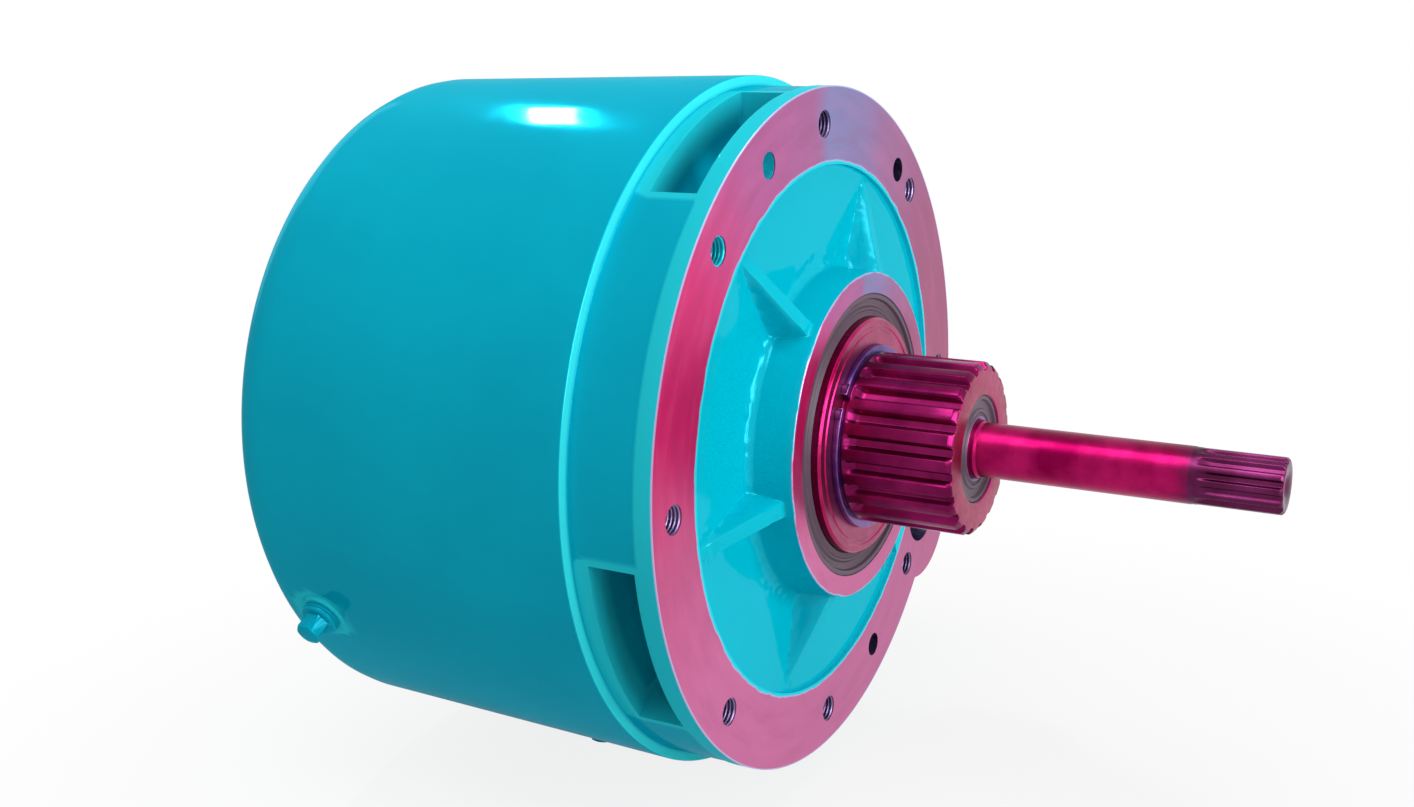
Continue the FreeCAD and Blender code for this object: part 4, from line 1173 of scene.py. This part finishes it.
cover = {
    "face": -252.0, "front": -240.0, "outer": 164.0, "spigotR": 145.8, "spigotX": -237.0, "hubR": 55.0,
    "hubH": 4.0, "ribs": around(8, 22.5), "ribHalf": 4.0, "ribTo": 139.0, "steep": 3.0, "endSlope": 0.8,
    "crown": 0.8, "meet": 1.2, "blend": 2.4, "wave": 0.00012, "waveGrain": 90.0,
    "inputSeat": (17.5, 23.5, -212.0, -227.0), "columns": 480, "rowGap": 1.6,
}
coverBolt = {
    "circle": 155.0, "clocks": around(8, 0.0), "across": 16.0, "foot": 0.6, "top": 6.4, "slope": 1.2,
    "washerR": 9.6, "washerBore": 5.2, "washerTop": 0.8, "sunk": -0.2, "shankR": 5.0, "shankEnd": -26.0,
    "turn": 1.7,
}
vent = {
    "radius": 112.0, "clock": 90.0, "across": 17.0, "head": 7.0, "stemR": 6.0, "stemEnd": -12.0, "neckR": 7.0,
    "capR": 7.6, "capFrom": 8.0, "capTo": 13.0, "top": 13.6,
}


def makeCover():
    c = cover
    seatR, bossR, seatFront, seatBack = c["inputSeat"]
    corners = [
        (c["face"], 0.0), (c["face"], c["outer"], 0.8), (c["front"], c["outer"], 0.5),
        (c["front"], c["spigotR"]), (c["spigotX"], c["spigotR"], 0.5), (c["spigotX"], bossR),
        (seatFront, bossR, 0.5), (seatFront, seatR, 0.5), (seatBack, seatR), (seatBack, 0.0),
    ]
    rounded = softened(corners, 4, closed=False)
    outline = densified(rounded, c["rowGap"], lambda a, b: max(a[0], b[0]) < c["face"] + tiny)
    piece = lathe("ribbed_rear_cover", outline, c["columns"], closed=False)
    for vertex in piece.data.vertices:
        if vertex.co.x / mm > c["face"] + tiny / 2:
            continue
        radius, clock = radiusOf(vertex.co), clockOf(vertex.co)
        away = abs(radius * math.sin(math.radians(nearest(clock, c["ribs"]))))
        rib = smoothMin(c["hubH"], (c["ribHalf"] - away) * c["steep"] + c["hubH"], c["crown"])
        rib = smoothMin(rib, (c["ribTo"] - radius) * c["endSlope"], c["crown"])
        hub = smoothMin(c["hubH"], (c["hubR"] - radius) * c["steep"], c["crown"])
        height = smoothMax(smoothMax(rib, hub, c["meet"]), 0.0, c["blend"])
        wave = noise.noise(vertex.co * c["waveGrain"]) * c["wave"]
        vertex.co.x = (c["face"] - min(height, c["hubH"] + 0.2)) * mm + wave
    shade(piece, 50.0)
    dress(piece, "housing", [plainEnamel], "cyan_enamel", "rear_cover")


def makeCoverBolts():
    b = coverBolt
    head = hexHead("bolt", b["across"], b["foot"], b["top"], b["slope"])
    corners = [(b["sunk"], b["washerBore"]), (b["sunk"], b["washerR"], 0.3),
               (b["washerTop"], b["washerR"], 0.4), (b["washerTop"], b["washerBore"])]
    washer = turned("washer", corners, 3, 40)
    shank = bar("shank", 24, b["shankR"], b["shankEnd"], 1.0)
    pattern = joined([head, washer, shank], "bolt")
    roundEdges(pattern, 0.3, 2, 28.0)
    shade(pattern)
    bolts = []
    for clock in b["clocks"]:
        bolt = copyOf(pattern, "bolt")
        bolt.data.transform(Matrix.Rotation(math.radians(clock * b["turn"]), 4, "X"))
        moveTo(bolt, polar(b["circle"], clock, cover["face"]), Vector((-1, 0, 0)))
        bolts.append(bolt)
    bpy.data.objects.remove(pattern)
    piece = joined(bolts, "cover_bolts_with_washers")
    dress(piece, "housing", [screwSteel], "zinc_screw", "rear_cover_bolts")


def makeBreather():
    v = vent
    head = hexHead("head", v["across"], 0.0, v["head"], 1.4)
    corners = [(v["stemEnd"], 0.0), (v["stemEnd"], v["stemR"]), (v["head"], v["stemR"]),
               (v["head"], v["neckR"]), (v["capFrom"], v["capR"], 0.3),
               (v["capTo"], v["capR"], 1.2), (v["top"], 0.0)]
    cap = turned("cap", corners, 4, 48, closed=False)
    piece = joined([head, cap], "vent_plug")
    roundEdges(piece, 0.3, 2, 28.0)
    shade(piece)
    moveTo(piece, polar(v["radius"], v["clock"], cover["face"]), Vector((-1, 0, 0)))
    dress(piece, "housing", [brassFinish], "brass", "breather")


makeCover()
makeCoverBolts()
makeBreather()
print("cover, plugs and bolts: made")

# the frame's own pieces take their finishes

for part in frame["record"]["subparts"]:
    mesh = cadNodes[part["node"]].data
    mesh.materials.clear()
    mesh.materials.append(finishBySlot[part["material_slot"]])
print("frame nodes: finished")

# floor, world and lamps

studio = {
    "floorSize": 14.0, "floorColour": (0.6, 0.6, 0.6, 1.0), "glow": (0.85, 1.0), "glowSpan": (0.15, 0.6),
    "ambient": 0.18, "aim": (-0.08, 0.0, 0.0),
    # name, direction from the aim, distance, width and height, watts, roll in degrees
    "lamps": [
        ("frontLamp", (0.97, -0.06, 0.24), 1.7, (0.9, 0.9), 19.0, 0.0),
        ("stripLamp", (0.85, -0.45, 0.2), 1.5, (0.07, 0.6), 2.4, 0.0),
        ("topLamp", (0.1, -0.42, 0.9), 1.5, (0.8, 0.8), 12.0, 0.0),
        ("glintLamp", (-0.573, 0.429, 0.698), 2.1, (0.34, 0.08), 14.0, 49.4),
        ("rearLamp", (-0.85, 0.3, 0.3), 2.2, (1.2, 1.2), 8.0, 0.0),
    ],
}


def brightFor():
    # camera, mirror and glass rays see the white background
    rays = add("LightPath")
    seen = calculate("MAXIMUM", rays.outputs["Is Camera Ray"], rays.outputs["Is Glossy Ray"])
    return calculate("MAXIMUM", seen, rays.outputs["Is Transmission Ray"])


def makeWorld():
    world = bpy.data.worlds.new("studio")
    bpy.context.scene.world = world
    world.use_nodes = True
    current["tree"] = world.node_tree
    strength = spread(brightFor(), studio["ambient"], 1.0)
    feed(current["tree"].nodes["Background"], {"Strength": strength, "Color": (1, 1, 1, 1)})


def makeFloor():
    clearSelection()
    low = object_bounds()[0].z
    bpy.ops.mesh.primitive_plane_add(size=studio["floorSize"], location=(0, 0, low))
    floor = named("floor")
    settle(floor)
    material, shader = startMaterial("paleFloor", {
        "Base Color": studio["floorColour"], "Roughness": 0.9, "Specular IOR Level": 0.1,
    })
    away = add("VectorMath", operation="LENGTH")
    feed(away, {0: coordinates((1, 1, 0))})
    far = spread(away.outputs["Value"], *studio["glow"], *studio["glowSpan"], "SMOOTHSTEP")
    showMix(times(far, brightFor()), shader, add("Emission"))
    floor.data.materials.append(material)


def makeLamps():
    aim = Vector(studio["aim"])
    for name, direction, distance, size, power, roll in studio["lamps"]:
        data = bpy.data.lights.new(name, "AREA")
        data.shape = "RECTANGLE"
        data.size, data.size_y = size
        data.energy = power
        light = newObject(name, data)
        toward = Vector(direction).normalized()
        light.location = aim + toward * distance
        light.rotation_mode = "QUATERNION"
        turn = Quaternion((0.0, 0.0, 1.0), math.radians(roll))
        light.rotation_quaternion = toward.to_track_quat("Z", "Y") @ turn


makeWorld()
makeFloor()
makeLamps()
bpy.context.scene.view_settings.view_transform = "Standard"
print("studio: made")
